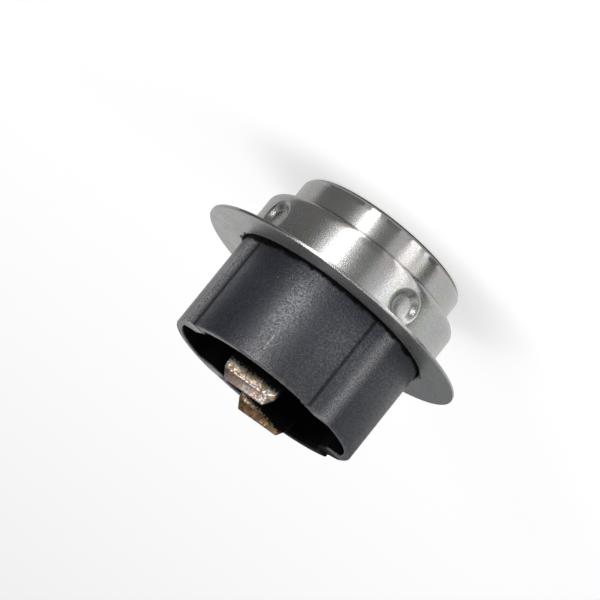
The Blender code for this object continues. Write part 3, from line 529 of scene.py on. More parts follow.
plastic, tree, shader = start_material(
    "dark_plastic", IOR=1.5, Specular_IOR_Level=0.5, Coat_Roughness=0.27, Coat_IOR=1.7
)
mottle = clouds(tree, size=6.0, contrast=1.6, seed=4.0)
fibres = use_group(tree, grain_group, Size=0.19, Softness=0.65)
tooth = use_group(tree, grain_group, Size=0.13, Softness=0.6)["Height"]
edge = use_group(tree, edge_group, Reach=0.4, Wear=0.9)["Edge"]
x, y, z = position(tree)
scratch = scratch_mask(tree, x, y, z)
# Painted shade: the mouth, the foot of each step, the collar and the rear rim are painted black, and there
# the coat, a high metallic and a raised roughness take the sheen away.
unlit = mouth_shade_mask(x, y, z)
for share, mask in (
    (0.6, step_foot_shade_mask(x, y)),
    (0.95, collar_shade_mask(tree, z)),
    (0.9, rear_rim_shade_mask(x, y, z)),
):
    unlit = larger(unlit, times(mask, share))
# Pale bands on the lobes' edges: partly rubbed wear, partly a painted highlight.
scuff_and_highlight = times(scuff_and_highlight_mask(x, y), ramp(tooth, 0.35, 0.65, 0.15, 1.0))
tint = lay_over(
    PLASTIC_DARK,
    (mottle, PLASTIC_BLUE),
    (times(fibres["Speckle"], 0.08), PLASTIC_PALE_AND_HIGHLIGHT),
    (scuff_and_highlight, PLASTIC_PALE_AND_HIGHLIGHT),
    (times(edge, 0.3), PLASTIC_PALE_AND_HIGHLIGHT),
    (times(scratch, 0.85), SCRATCH_PALE),
    (unlit, PLASTIC_SHADE_BLACK),
)
glint = ramp(fibres["Height"], 0.38, 0.62, 0.05, 0.7)
rubbed_low = ramp(z, HANDLED_LOW, HANDLED_MIDDLE, 0.55, 1.4)
rubbed_high = ramp(z, HANDLED_MIDDLE, HANDLED_HIGH, 1.0, 0.55)
glint = times(glint, times(rubbed_low, rubbed_high))
glint = times(glint, less(1.0, unlit))
matt = times_plus(mottle, 0.05, ramp(tooth, 0.35, 0.65, 0.22, 0.44))
matt = times_plus(unlit, 0.4, matt)
feed(shader, Base_Color=tint, Coat_Weight=glint, Metallic=times(unlit, 0.9), Roughness=matt)
relief = times_plus(tooth, 0.4, fibres["Height"])
relief = less(relief, times(scratch, 0.8))
set_bump(shader, relief, PLASTIC_BUMP)
print("finish:", plastic.name)

# %% [markdown]
# The blades are tinned brass that has seen years of heat and many push-on receptacles. Tin is left
# in patches, brass and copper shine through where it is rubbed, and brown oxide with a little green
# sits between. Below the tips, where they sink into the dark mouth, they are painted black as shade,
# and the edge of the painted shade is uneven and leans across the blade. Both blades share the
# recipe, and the bevel at the tip has a tint of its own: mauve on the front blade, and a dark bronze
# on the rear one, which is browner and less rubbed.

# %% Finish: worn blades
TIN = (0.80, 0.76, 0.70, 1.0)
MAUVE = (0.22, 0.185, 0.18, 1.0)
BRASS = (0.72, 0.52, 0.34, 1.0)
BRONZE = (0.06, 0.032, 0.018, 1.0)
COPPER = (0.24, 0.12, 0.062, 1.0)
OXIDE = (0.075, 0.048, 0.031, 1.0)
# The black of the painted shade below the tips.
BLADE_SHADE_BLACK = (0.004, 0.0037, 0.004, 1.0)
VERDIGRIS = (0.07, 0.10, 0.06, 1.0)
TIP_BEVEL_START = 21.45
SHADE_EDGE_UNEVEN = 0.35
BLADE_BUMP = 0.014


def blade_finish(name, tip_tint, oxide, copper, rubbed, shade_top, black_from, lean, seed):
    """Patchy metal, from the shares of oxide, copper and rubbed edges, and where the painted shade begins.
    """
    material, tree, shader = start_material(name, Metallic=1.0)
    tin_patch = clouds(tree, size=0.7, contrast=2.6, seed=seed)
    copper_patch = clouds(tree, size=0.8, contrast=3.0, seed=seed + 3.0)
    brown_patch = clouds(tree, size=0.24, contrast=2.6, seed=seed + 6.0)
    green_patch = clouds(tree, size=0.6, contrast=3.4, seed=seed + 9.0)
    fine = use_group(tree, grain_group, Size=0.2, Softness=0.7)["Height"]
    edge = use_group(tree, edge_group, Reach=0.2, Wear=0.9)["Edge"]
    x, _, z = position(tree)
    on_bevel = ramp(z, TIP_BEVEL_START - 0.1, TIP_BEVEL_START + 0.1)
    # Painted shade: below a wavering height that leans across the blade, the metal is painted black.
    uneven = times_plus(x, lean, times_plus(brown_patch, SHADE_EDGE_UNEVEN, z))
    painted_shade = ramp(uneven, black_from, shade_top, 1.0, 0.0)
    brown = times(times(brown_patch, oxide), times_plus(on_bevel, -0.4, 1.0))
    green = times(green_patch, ramp(painted_shade, 0.02, 0.5, 0.15, 0.7))
    tint = lay_over(
        BRASS,
        (tin_patch, TIN),
        (on_bevel, tip_tint),
        (times(copper_patch, copper), COPPER),
        (brown, OXIDE),
        (green, VERDIGRIS),
        (times(edge, rubbed), TIN),
        (painted_shade, BLADE_SHADE_BLACK),
    )
    patina = larger(brown, green)
    dull = larger(patina, painted_shade)
    unshaded = less(1.0, painted_shade)
    shiny = times_plus(times(patina, unshaded), -0.5, 1.0)
    feed(shader, Base_Color=tint, Metallic=shiny, Roughness=times_plus(dull, 0.3, 0.3))
    set_bump(shader, times_plus(brown_patch, 0.4, fine), BLADE_BUMP)
    print("finish:", name)
    return material


front = {"oxide": 0.75, "copper": 0.4, "rubbed": 0.5, "shade_top": 21.3, "black_from": 20.35}
rear = {"oxide": 1.0, "copper": 0.85, "rubbed": 0.2, "shade_top": 21.85, "black_from": 21.4}
front_blade_metal = blade_finish("front_blade_metal", MAUVE, lean=0.03, seed=1.0, **front)
rear_blade_metal = blade_finish("rear_blade_metal", BRONZE, lean=0.22, seed=21.0, **rear)

# %% [markdown]
# Nothing inside the cap shows in the picture, but a part can be taken apart. Each inner piece gets a
# finish from the same effects, with a colour, a roughness and a grain of its own. The record names a
# material slot for every node, so a table of finishes by slot is enough to dress them all.

# %% Finishes of the inner pieces
CORNER_SHADE_DARK = 0.3


def plain_finish(name, light, dark, roughness, metallic, grain_size, depth, cloud_size=3.0):
    """Two close tints in slow clouds, painted shade in the corners, and a grain of the given size."""
    material, tree, shader = start_material(name, Metallic=metallic)
    drift = clouds(tree, size=cloud_size, contrast=1.8, seed=float(len(name)))
    fine = use_group(tree, grain_group, Size=grain_size, Softness=0.6)["Height"]
    corner = use_group(tree, edge_group, Reach=0.25, Wear=0.7)["Corner"]
    # Painted shade in the inner corners, from the corner mask.
    deep = (*(channel * CORNER_SHADE_DARK for channel in dark), 1.0)
    tint = lay_over((*light, 1.0), (drift, (*dark, 1.0)), (times(corner, 0.5), deep))
    feed(shader, Base_Color=tint, Roughness=times_plus(drift, 0.12, roughness))
    set_bump(shader, fine, depth, 0.7)
    return material


# Each slot has a light and a dark tint, roughness, metallic, and the grain's size and depth in mm.
INNER_LOOKS = {
    "brass": ((0.66, 0.50, 0.24), (0.50, 0.36, 0.16), 0.26, 1.0, 0.2, 0.004),
    "bimetal": ((0.55, 0.52, 0.46), (0.42, 0.38, 0.33), 0.3, 1.0, 0.15, 0.004),
    "spring_copper": ((0.74, 0.40, 0.24), (0.56, 0.28, 0.16), 0.24, 1.0, 0.15, 0.003),
    "contact_silver": ((0.85, 0.84, 0.80), (0.62, 0.60, 0.55), 0.22, 1.0, 0.12, 0.003),
    "phenolic": ((0.11, 0.055, 0.03), (0.07, 0.035, 0.02), 0.45, 0.0, 0.12, 0.01),
    "ceramic": ((0.80, 0.78, 0.72), (0.72, 0.69, 0.62), 0.3, 0.0, 0.1, 0.005),
    "film": ((0.62, 0.32, 0.07), (0.50, 0.24, 0.05), 0.2, 0.0, 0.4, 0.003),
    "rubber": ((0.028, 0.028, 0.028), (0.018, 0.018, 0.018), 0.6, 0.0, 0.1, 0.01),
}
inner_finishes = {slot: plain_finish(slot, *looks) for slot, looks in INNER_LOOKS.items()}
inner_nodes = [part for part in frame["record"]["subparts"] if part["material_slot"] in INNER_LOOKS]
for part in inner_nodes:
    mesh = nodes[part["node"]].data
    mesh.materials.clear()
    mesh.materials.append(inner_finishes[part["material_slot"]])
print("inner pieces finished:", len(inner_nodes))

# %% [markdown]
# The new surfaces are woven from rings of points. A ring has the same number of points as the next
# one, so neighbouring rings are joined by quads, and the mesh closes round the axis by itself.

# %% Helpers for woven surfaces
SHARP_ANGLE = math.radians(38)
WELD = 0.0005
COARSE_WELD = 0.001


def arc(center_r, center_z, radius, start, end, steps):
    """Points of an arc in the (radius, height) plane, angles in degrees."""
    points = []
    for step in range(steps + 1):
        angle = math.radians(start + (end - start) * step / steps)
        points.append((center_r + radius * math.cos(angle), center_z + radius * math.sin(angle)))
    return points


def run(start, end, step):
    """Evenly spaced points on a straight line, without its first point."""
    count = max(1, round(math.dist(start, end) / step))
    return [tuple(a + (b - a) * k / count for a, b in zip(start, end)) for k in range(1, count + 1)]


def round_line(radii, angles):
    """Points of an outline round the axis, from its radius at each angle."""
    return [(float(r * np.cos(a)), float(r * np.sin(a))) for r, a in zip(radii, angles)]


def soft_ramp(value, width):
    """Zero below the origin, a straight rise above it, and a rounded start of the given half width."""
    blend = (value + width) ** 2 / (4.0 * width)
    return np.where(value <= -width, 0.0, np.where(value >= width, value, blend))


def weave(name, radii, heights, angles, material, first="fan", last="fan"):
    """Mesh from rings of radii and heights, in millimetres, at the given angles."""
    rows, columns = radii.shape
    x = radii * np.cos(angles) * MM
    y = radii * np.sin(angles) * MM
    points = np.stack([x, y, heights * MM], axis=-1).reshape(-1, 3).tolist()
    faces = []
    for row in range(rows - 1):
        for column in range(columns):
            after = (column + 1) % columns
            here = row * columns
            faces.append((here + column, here + after, here + columns + after, here + columns + column))
    for kind, row in ((first, 0), (last, rows - 1)):
        if kind == "fan":
            points.append((0.0, 0.0, float(heights[row].mean()) * MM))
            for column in range(columns):
                pair = [row * columns + column, row * columns + (column + 1) % columns]
                faces.append((*pair, len(points) - 1))
    mesh = bpy.data.meshes.new(name)
    mesh.from_pydata(points, [], faces)
    return finish_mesh(name, mesh, material)


def settle(work, mesh, weld):
    """Weld points closer than some distance, turn the faces outwards and shade them smooth."""
    bmesh.ops.remove_doubles(work, verts=work.verts, dist=weld * MM)
    bmesh.ops.recalc_face_normals(work, faces=work.faces)
    open_edges = sum(len(edge.link_faces) != 2 for edge in work.edges)
    work.to_mesh(mesh)
    work.free()
    mesh.shade_smooth()
    mesh.set_sharp_from_angle(angle=SHARP_ANGLE)
    print("open edges in", mesh.name + ":", open_edges)


def finish_mesh(name, mesh, material):
    """Settle a mesh, give it its material and put it in the scene."""
    work = bmesh.new()
    work.from_mesh(mesh)
    settle(work, mesh, WELD)
    mesh.materials.append(material)
    return put_in_scene(name, mesh)


def stand_for(piece, node):
    """Let a piece replace a node of the frame and move with its body."""
    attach(piece, body_of_node[node])
    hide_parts(node)
    print(piece.name, "stands for", node, "with", len(piece.data.polygons), "faces")


# %% [markdown]
# The cap is one piece of sheet. Its section is walked once along the outside, from the middle of the
# sensing face to the flange, and once back along the inside. The four crimp dimples are pushed into
# the drum's wall: a dimple is a shallow cone with a rounded lip and a hollow bottom, so each
# point of the wall moves inwards by a depth that depends on its distance from the dimple's middle.

# %% Sizes of the cap
_, box_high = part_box("sensing_cap")
FLANGE_RADIUS = box_high.x / MM
SHEET = 0.35
FLAT_STEP = 1.2
FACE_STEP = 2.2
CUP_RADIUS = 9.9
CUP_CORNER = 1.1
CUP_HEIGHT = 3.45
DRUM_RADIUS = 11.65
DRUM_INNER = DRUM_RADIUS - SHEET
DRUM_CORNER = 1.05
NECK_BEND = 0.25
MOUTH_BEND = 0.2
FLANGE_TOP = box_high.z / MM
FLANGE_UNDER = FLANGE_TOP - SHEET
FLANGE_ROUND = 0.07
DIMPLE_TURN = 41.5
DIMPLE_ANGLES = [math.radians(DIMPLE_TURN + 90.0 * k) for k in range(4)]
DIMPLE_HEIGHT = 6.525
DIMPLE_RADIUS = 1.78
DIMPLE_TIP = 1.15
DIMPLE_DEPTH = 0.64
DIMPLE_BOWL = 0.17
DIMPLE_LIP_ROUND = 0.15
DIMPLE_TIP_ROUND = 0.12
WALL_STEP = 0.08
INNER_STEP = 1.6 * WALL_STEP
print("cap:", round(2 * FLANGE_RADIUS, 2), "mm across the flange")

# %% Shape the dimples


def dimple_depth(angles, heights, widen=0.0):
    """How far the drum's wall is pushed inwards at each angle and height."""
    depth = np.zeros(np.broadcast(angles, heights).shape)
    slope = DIMPLE_DEPTH / (DIMPLE_RADIUS - DIMPLE_TIP)
    for middle in DIMPLE_ANGLES:
        turn = (angles - middle + math.pi) % (2 * math.pi) - math.pi
        away = np.hypot(turn * DRUM_RADIUS, heights - DIMPLE_HEIGHT)
        cone = soft_ramp(DIMPLE_RADIUS + widen - away, DIMPLE_LIP_ROUND)
        cone -= soft_ramp(DIMPLE_TIP + widen - away, DIMPLE_TIP_ROUND)
        bowl = DIMPLE_BOWL * np.clip(1.0 - (away / DIMPLE_TIP) ** 2, 0.0, None)
        depth = np.maximum(depth, slope * cone + bowl)
    return depth


def crowded_angles(coarse, fine, reach):
    """Angles round the axis, closer together near the dimples. All three in degrees."""
    wanted = set(np.round(np.arange(0.0, 360.0, coarse), 3))
    for middle in DIMPLE_ANGLES:
        start = math.degrees(middle) - reach
        wanted = {angle for angle in wanted if abs((angle - start - reach + 180) % 360 - 180) > reach}
        wanted |= set(np.round(np.arange(start, start + 2 * reach, fine) % 360.0, 3))
    return np.radians(np.array(sorted(wanted)))


# %% Weave the cap
corner_r = DRUM_RADIUS - DRUM_CORNER
corner_z = CUP_HEIGHT + DRUM_CORNER
edge_r = FLANGE_RADIUS - FLANGE_ROUND
outside = run((0.0, 0.0), (CUP_RADIUS - CUP_CORNER, 0.0), FACE_STEP)
outside += arc(CUP_RADIUS - CUP_CORNER, CUP_CORNER, CUP_CORNER, -90, 0, 10)
outside += arc(CUP_RADIUS + NECK_BEND, CUP_HEIGHT - NECK_BEND, NECK_BEND, 180, 90, 5)
outside += arc(corner_r, corner_z, DRUM_CORNER, -90, 0, 10)
outside += run((DRUM_RADIUS, corner_z), (DRUM_RADIUS, FLANGE_UNDER - NECK_BEND), WALL_STEP)
outside += arc(DRUM_RADIUS + NECK_BEND, FLANGE_UNDER - NECK_BEND, NECK_BEND, 180, 90, 5)[1:]
outside += run((DRUM_RADIUS + NECK_BEND, FLANGE_UNDER), (edge_r, FLANGE_UNDER), FLAT_STEP)
outside += arc(edge_r, FLANGE_UNDER + FLANGE_ROUND, FLANGE_ROUND, -90, 0, 3)[1:]
outside += arc(edge_r, FLANGE_TOP - FLANGE_ROUND, FLANGE_ROUND, 0, 90, 3)
inner_bend = NECK_BEND + SHEET
inside = run((edge_r, FLANGE_TOP), (DRUM_INNER + MOUTH_BEND, FLANGE_TOP), FLAT_STEP)
inside += arc(DRUM_INNER + MOUTH_BEND, FLANGE_TOP - MOUTH_BEND, MOUTH_BEND, 90, 180, 6)[1:]
inside += run((DRUM_INNER, FLANGE_TOP - MOUTH_BEND), (DRUM_INNER, corner_z), INNER_STEP)
inside += arc(corner_r, corner_z, DRUM_CORNER - SHEET, 0, -90, 6)[1:]
inside += arc(CUP_RADIUS + NECK_BEND, CUP_HEIGHT - NECK_BEND, inner_bend, 90, 180, 6)
inside += arc(CUP_RADIUS - CUP_CORNER, CUP_CORNER, CUP_CORNER - SHEET, 0, -90, 6)
section = np.array(outside + inside)
angles = crowded_angles(coarse=1.5, fine=0.4, reach=10.0)[None, :]
radii = np.repeat(section[:, :1], angles.size, axis=1)
heights = np.repeat(section[:, 1:], angles.size, axis=1)
between_walls = (radii > DRUM_INNER - 0.01) & (radii < DRUM_RADIUS + 0.01)
on_wall = between_walls & (heights < FLANGE_UNDER)
radii = radii - np.where(on_wall, dimple_depth(angles, heights), 0.0)
cap = weave("steel_cap", radii, heights, angles, steel)
stand_for(cap, "sensing_cap")

# %% [markdown]
# The housing is round only at first sight. Two lobes stand out along X, and between them lie two
# recessed panels, joined by short sloping steps. The mouth inside has its own outline with thick pads
# behind the steps. Each outline is a radius for every direction, built from soft ramps, so that the
# moulding's rounded edges come for free.

# %% Outlines of the shroud
LOBE_RADIUS = 11.15
PANEL_RADIUS = 10.7
LOBE_INNER = 10.35
PANEL_INNER = 9.7
PAD_INNER = 9.1
STEP_START = 39.5
STEP_END = 46.0
POCKET_END = 27.0
PAD_START = 34.5
PAD_END = 48.0
PAD_STEP_END = 50.5


def folded(angles):
    """Degrees away from the nearest lobe's middle, from 0 to 90."""
    turned = np.degrees(angles) % 180.0
    return np.minimum(turned, 180.0 - turned)


def slope_between(value, start, end, low, high, start_round, end_round):
    """A straight slope from one level to another with rounded ends."""
    rise = soft_ramp(value - start, start_round) - soft_ramp(value - end, end_round)
    return low + (high - low) * rise / (end - start)


def outer_outline(angles):
    """Outside radius of the shroud in each direction."""
    return slope_between(folded(angles), STEP_START, STEP_END, LOBE_RADIUS, PANEL_RADIUS, 0.9, 0.35)


def inner_outline(angles):
    """Radius of the mouth in each direction."""
    away = folded(angles)
    pad = slope_between(away, POCKET_END, PAD_START, LOBE_INNER, PAD_INNER, 1.2, 1.0)
    return pad + slope_between(away, PAD_END, PAD_STEP_END, 0.0, PANEL_INNER - PAD_INNER, 0.5, 0.8)


# %% Outline of the rim
RIM_TOP = 20.3
LIP_RISE = 0.33
LIP_START = 75.5
LIP_END = 131.5
LIP_ROUND = 0.5


def rim_outline(angles):
    """Height of the rim in each direction, with the low lip on the rear panel."""
    turned = np.degrees(angles) % 360.0
    rise = np.clip((turned - LIP_START) / LIP_ROUND, 0, 1) * np.clip((LIP_END - turned) / LIP_ROUND, 0, 1)
    return RIM_TOP + LIP_RISE * rise


# %% [markdown]
# The housing's rings start at the mouth's floor, climb the inner wall, cross the rim, go down the
# outside into the cap, and come back up through the switch chamber to its roof. The floor and the
# roof have two slots for the blades, so they are flat plates with holes, not fans.

# %% Sizes below the rim
MOUTH_FLOOR = 12.65
ROOF = 11.05
PLUG_TOP = 8.5
PLUG_LEDGE = 0.25
SKIRT_BOTTOM = 4.28
SKIRT_CHAMFER = 0.25
SKIRT_INNER = 9.6
CHAMBER_RADIUS = 8.9
CHAMBER_LEDGE = 6.25
BLADE_OFFSET = 4.67
SLOT_HALF_X = 3.3
SLOT_HALF_Y = 0.55
RIM_ROUND = 0.15
BUMP_GAP = 0.15
BUMP_WIDER = 0.25
PLUG_STEP = 0.2
ROUND_COUNT = 720


def slot_outline(side, gap=0.0):
    """Corners of one blade slot, in millimetres."""
    y = side * BLADE_OFFSET
    half_x = SLOT_HALF_X - gap
    half_y = SLOT_HALF_Y - gap
    return [(-half_x, y - half_y), (half_x, y - half_y), (half_x, y + half_y), (-half_x, y + half_y)]


def inside_loop(loop, x, y):
    """Whether a point lies inside a closed outline."""
    crossings = 0
    for (x0, y0), (x1, y1) in zip(loop, loop[1:] + loop[:1]):
        if (y0 > y) != (y1 > y) and x < x0 + (y - y0) * (x1 - x0) / (y1 - y0):
            crossings += 1
    return crossings % 2 == 1


def plate_with_slots(work, outline, height, gap, inner_points=(), lift=None):
    """Fill an outline around the blade slots. Returns the slots' and the outline's vertices."""
    loops = [outline, slot_outline(1, gap), slot_outline(-1, gap)]
    points = []
    edges = []
    for loop in loops:
        start = len(points)
        points += [Vector(point) for point in loop]
        edges += [(start + k, start + (k + 1) % len(loop)) for k in range(len(loop))]
    points += [Vector(point) for point in inner_points]
    filled = delaunay_2d_cdt(points, edges, [], 0, 1e-7)
    corners = []
    for point in filled[0]:
        z = height if lift is None else height + lift(point.x, point.y)
        corners.append(work.verts.new((point.x * MM, point.y * MM, z * MM)))
    for face in filled[2]:
        middle = sum((filled[0][k] for k in face), Vector((0.0, 0.0))) / len(face)
        in_slot = any(inside_loop(loop, *middle) for loop in loops[1:])
        if not in_slot and inside_loop(outline, *middle):
            work.faces.new([corners[k] for k in face])
    first = len(outline)
    return [corners[first:first + 4], corners[first + 4:first + 8]], corners[:first]


def join_loops(work, low, high):
    """Walls between two loops of as many vertices."""
    for k in range(len(low)):
        after = (k + 1) % len(low)
        work.faces.new((low[k], low[after], high[after], high[k]))


# %% Weave the housing
angles = np.radians(np.arange(ROUND_COUNT) * 360.0 / ROUND_COUNT)[None, :]
inner = inner_outline(angles)
outer = outer_outline(angles)
rim = rim_outline(angles)
quarter = [math.radians(15.0 * k) for k in range(7)]
edge_z = rim - RIM_ROUND
rings = [(inner, MOUTH_FLOOR + 0 * rim)]
rings += [(inner, MOUTH_FLOOR + (edge_z - MOUTH_FLOOR) * share) for share in np.linspace(0.1, 1.0, 10)]
for side, wall, turns in ((1, inner, quarter[1:]), (-1, outer, quarter[::-1])):
    for turn in turns:
        inset = side * RIM_ROUND * (1 - math.cos(turn))
        rings.append((wall + inset, rim - RIM_ROUND * (1 - math.sin(turn))))
rings += [(outer, edge_z + (PLUG_TOP - edge_z) * share) for share in np.linspace(0.08, 1.0, 12)]
round_plug = LOBE_RADIUS + 0 * outer
for height in np.arange(PLUG_TOP - PLUG_LEDGE, SKIRT_BOTTOM + SKIRT_CHAMFER, -PLUG_STEP):
    free = DRUM_INNER - BUMP_GAP - dimple_depth(angles, height + 0 * angles, BUMP_WIDER)
    rings.append((np.minimum(round_plug, free), height + 0 * angles))
rings.append((round_plug, SKIRT_BOTTOM + SKIRT_CHAMFER + 0 * angles))
for radius, height in (
    (LOBE_RADIUS - SKIRT_CHAMFER, SKIRT_BOTTOM),
    (SKIRT_INNER, SKIRT_BOTTOM),
    (SKIRT_INNER, CHAMBER_LEDGE),
    (CHAMBER_RADIUS, CHAMBER_LEDGE),
    (CHAMBER_RADIUS, ROOF),
):
    rings.append((radius + 0 * angles, height + 0 * angles))
radii = np.concatenate([ring[0] for ring in rings])
heights = np.concatenate([ring[1] for ring in rings])
housing = weave("shroud_housing", radii, heights, angles, plastic, first="open", last="open")

# %% Close the housing's floor and roof
work = bmesh.new()
work.from_mesh(housing.data)
floor_slots, _ = plate_with_slots(work, round_line(radii[0], angles[0]), MOUTH_FLOOR, 0.0)
roof_slots, _ = plate_with_slots(work, round_line(radii[-1], angles[0]), ROOF, 0.0)
for low, high in zip(roof_slots, floor_slots):
    join_loops(work, low, high)
settle(work, housing.data, COARSE_WELD)
stand_for(housing, "connector_housing")

# %% [markdown]
# The floor of the mouth is sealed with poured resin. While it was liquid it crept a little up the
# walls and the blades, and that rounded rim is what the eye takes for poured. A flat plate gets extra
# points near its edges, and each is lifted by how close it is to the nearest wall.

# %% Pour the resin
RESIN_TOP = 13.35
RESIN_LOW = 12.75
RESIN_GAP = 0.02
BLADE_HALF_X = 3.15
BLADE_HALF_Y = 0.4
CREEP_HEIGHT = 0.22
CREEP_REACH = 0.35
CREEP_LINES = (0.12, 0.3, 0.6)
RESIN_GRID = 0.45
RESIN_CLEAR = 0.8
BLADE_POINTS = 13

resin = plain_finish("resin", (0.012, 0.012, 0.014), (0.008, 0.008, 0.010), 0.12, 0.0, 1.2, 0.03, 2.0)


def from_wall(x, y):
    """Distance from the mouth's wall, measured along the radius."""
    return float(inner_outline(np.array([math.atan2(y, x)]))[0]) - math.hypot(x, y)


def creep(x, y):
    """Rise of the resin's surface near the mouth's wall and the blades."""
    out_x = max(abs(x) - BLADE_HALF_X, 0.0)
    out_y = max(abs(abs(y) - BLADE_OFFSET) - BLADE_HALF_Y, 0.0)
    return CREEP_HEIGHT * math.exp(-min(from_wall(x, y), math.hypot(out_x, out_y)) / CREEP_REACH)


mouth = round_line(inner[0, ::3] - RESIN_GAP, angles[0, ::3])
spread_points = []
for offset in CREEP_LINES:
    spread_points += round_line(inner[0, ::6] - RESIN_GAP - offset, angles[0, ::6])
    for side in (1, -1):
        half_x = BLADE_HALF_X + offset
        half_y = BLADE_HALF_Y + offset
        for k in range(BLADE_POINTS):
            x = half_x * (2 * k / (BLADE_POINTS - 1) - 1.0)
            spread_points += [(x, side * BLADE_OFFSET - half_y), (x, side * BLADE_OFFSET + half_y)]
steps = int(2 * LOBE_INNER / RESIN_GRID)
for column in range(steps):
    for row in range(steps):
        x = -LOBE_INNER + (column + 0.5 * (row % 2)) * RESIN_GRID
        y = -LOBE_INNER + row * RESIN_GRID
        beside_blade = max(abs(x) - BLADE_HALF_X, abs(abs(y) - BLADE_OFFSET) - BLADE_HALF_Y)
        if min(from_wall(x, y), beside_blade) > RESIN_CLEAR:
            spread_points.append((x, y))
slot_gap = SLOT_HALF_X - BLADE_HALF_X - RESIN_GAP
work = bmesh.new()
top_slots, top_line = plate_with_slots(work, mouth, RESIN_TOP, slot_gap, spread_points, creep)
low_slots, low_line = plate_with_slots(work, mouth, RESIN_LOW, slot_gap)
join_loops(work, low_line, top_line)
for low, high in zip(low_slots, top_slots):
    join_loops(work, low, high)
mesh = bpy.data.meshes.new("poured_resin")
work.to_mesh(mesh)
work.free()
poured = finish_mesh("poured_resin", mesh, resin)
stand_for(poured, "sealing_resin")

# %% [markdown]
# The blades have the right form in the frame already. What stamping adds is a slightly rolled edge
# all round, which catches the light. A copy of the node gets its flat facets merged and a narrow
# bevel on every sharp edge.

# %% Roll the blades' edges
EDGE_ROLL = 0.06
EDGE_STEPS = 3
FLAT_ANGLE = math.radians(1.0)
ROLL_ANGLE = math.radians(25)


def roll_edges(name, node, material):
    """A copy of a node with rounded edges, standing for it."""
    work = bmesh.new()
    work.from_mesh(nodes[node].data)
    bmesh.ops.remove_doubles(work, verts=work.verts, dist=COARSE_WELD * MM)
    bmesh.ops.dissolve_limit(work, angle_limit=FLAT_ANGLE, verts=work.verts, edges=work.edges)
    mesh = bpy.data.meshes.new(name)
    work.to_mesh(mesh)
    work.free()
    piece = finish_mesh(name, mesh, material)
    bevel = piece.modifiers.new("rolled edge", "BEVEL")
    bevel.width = EDGE_ROLL * MM
    bevel.segments = EDGE_STEPS
    bevel.limit_method = "ANGLE"
    bevel.angle_limit = ROLL_ANGLE
    bevel.harden_normals = True
    stand_for(piece, node)


roll_edges("front_blade", "strip_terminal", front_blade_metal)
roll_edges("rear_blade", "arm_terminal", rear_blade_metal)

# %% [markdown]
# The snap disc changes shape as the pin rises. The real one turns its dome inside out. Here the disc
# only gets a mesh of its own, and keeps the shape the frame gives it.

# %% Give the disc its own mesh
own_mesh(nodes["bimetal_disc"])

# %% [markdown]
# The thermostat stands on a white table. To the camera the table and the room are white, in
# reflections they are grey, and the table still takes the part's soft shadow. Light Path tells the
# shader which kind of ray is asking, so that the white background adds no light to the part.

# %% Table and room
FLOOR_RADIUS = 3.0
TABLE_GLOW = 0.62
TABLE_MIRRORED = 0.3
TABLE_TONE = (0.42, 0.42, 0.42, 1.0)
ROOM_SEEN = 1.0
ROOM_MIRRORED = 0.4
ROOM_LIGHT = 0.5


def by_ray(tree, seen, mirrored, lighting):
    """One value for the camera and through glass, one in reflections, and one for soft light."""
    path = tree.nodes.new("ShaderNodeLightPath").outputs
    direct = larger(path["Is Camera Ray"], path["Is Transmission Ray"])
    level = times_plus(path["Is Glossy Ray"], mirrored - lighting, lighting)
    return times_plus(direct, seen - lighting, level)


def stage_piece(name, points, faces, material):
    """A mesh that isn't part of the thermostat."""
    mesh = bpy.data.meshes.new(name)
    mesh.from_pydata(points, [], faces)
    mesh.materials.append(material)
    piece = put_in_scene(name, mesh)
    return piece


table_white, tree, shader = start_material("table_white", Base_Color=TABLE_TONE, Roughness=0.9)
feed(shader, Specular_IOR_Level=0.0, Emission_Color=WHITE)
feed(shader, Emission_Strength=by_ray(tree, TABLE_GLOW, TABLE_MIRRORED, 0.0))
signs = ((-1, -1), (1, -1), (1, 1), (-1, 1))
corners = [(x * FLOOR_RADIUS, y * FLOOR_RADIUS, 0.0) for x, y in signs]
stage_piece("table", corners, [(0, 1, 2, 3)], table_white)

room = bpy.data.worlds.new("room")
bpy.context.scene.world = room
room.use_nodes = True
tree = room.node_tree
room_light = by_ray(tree, ROOM_SEEN, ROOM_MIRRORED, ROOM_LIGHT)
feed(tree.nodes["Background"], Color=WHITE, Strength=room_light)
print("table and room are white")

# %% [markdown]
# Three soft lights add shape to the even light of the room: a narrow key to the right, a weaker wide
# fill to the left, and a large one overhead. The metal mirrors the key and the overhead light, but
# not the fill. Each is placed by its angles from the camera and faces the part.

# %% Lights


def soft_light(name, azimuth, elevation, distance, width, height, power, color, mirrored):
    """A rectangular light that faces the thermostat. Angles in degrees, lengths in metres."""
    data = bpy.data.lights.new(name, "AREA")
    data.shape = "RECTANGLE"
    data.size = width
    data.size_y = height
    data.energy = power
    data.color = color
    lamp = put_in_scene(name, data)
    away = direction(CAMERA_AZIMUTH + azimuth, elevation)
    turn = away.to_track_quat("Z", "Y").to_matrix().to_4x4()
    lamp.matrix_world = Matrix.Translation(flange_middle + away * distance) @ turn
    lamp.visible_glossy = mirrored


# Name, azimuth, elevation, distance, width, height, power, colour, and whether it is mirrored.
SOFT_LIGHTS = (
    ("key", 28.0, 9.0, 0.5, 0.09, 0.17, 1.0, (1.0, 0.985, 0.96), True),
    ("fill", -50.0, 16.0, 0.6, 0.2, 0.34, 0.7, (0.96, 0.98, 1.0), False),
    ("overhead", 20.0, 72.0, 0.6, 0.5, 0.5, 1.6, (1.0, 1.0, 1.0), True),
)
for light in SOFT_LIGHTS:
    soft_light(*light)
print("lights:", len(SOFT_LIGHTS))

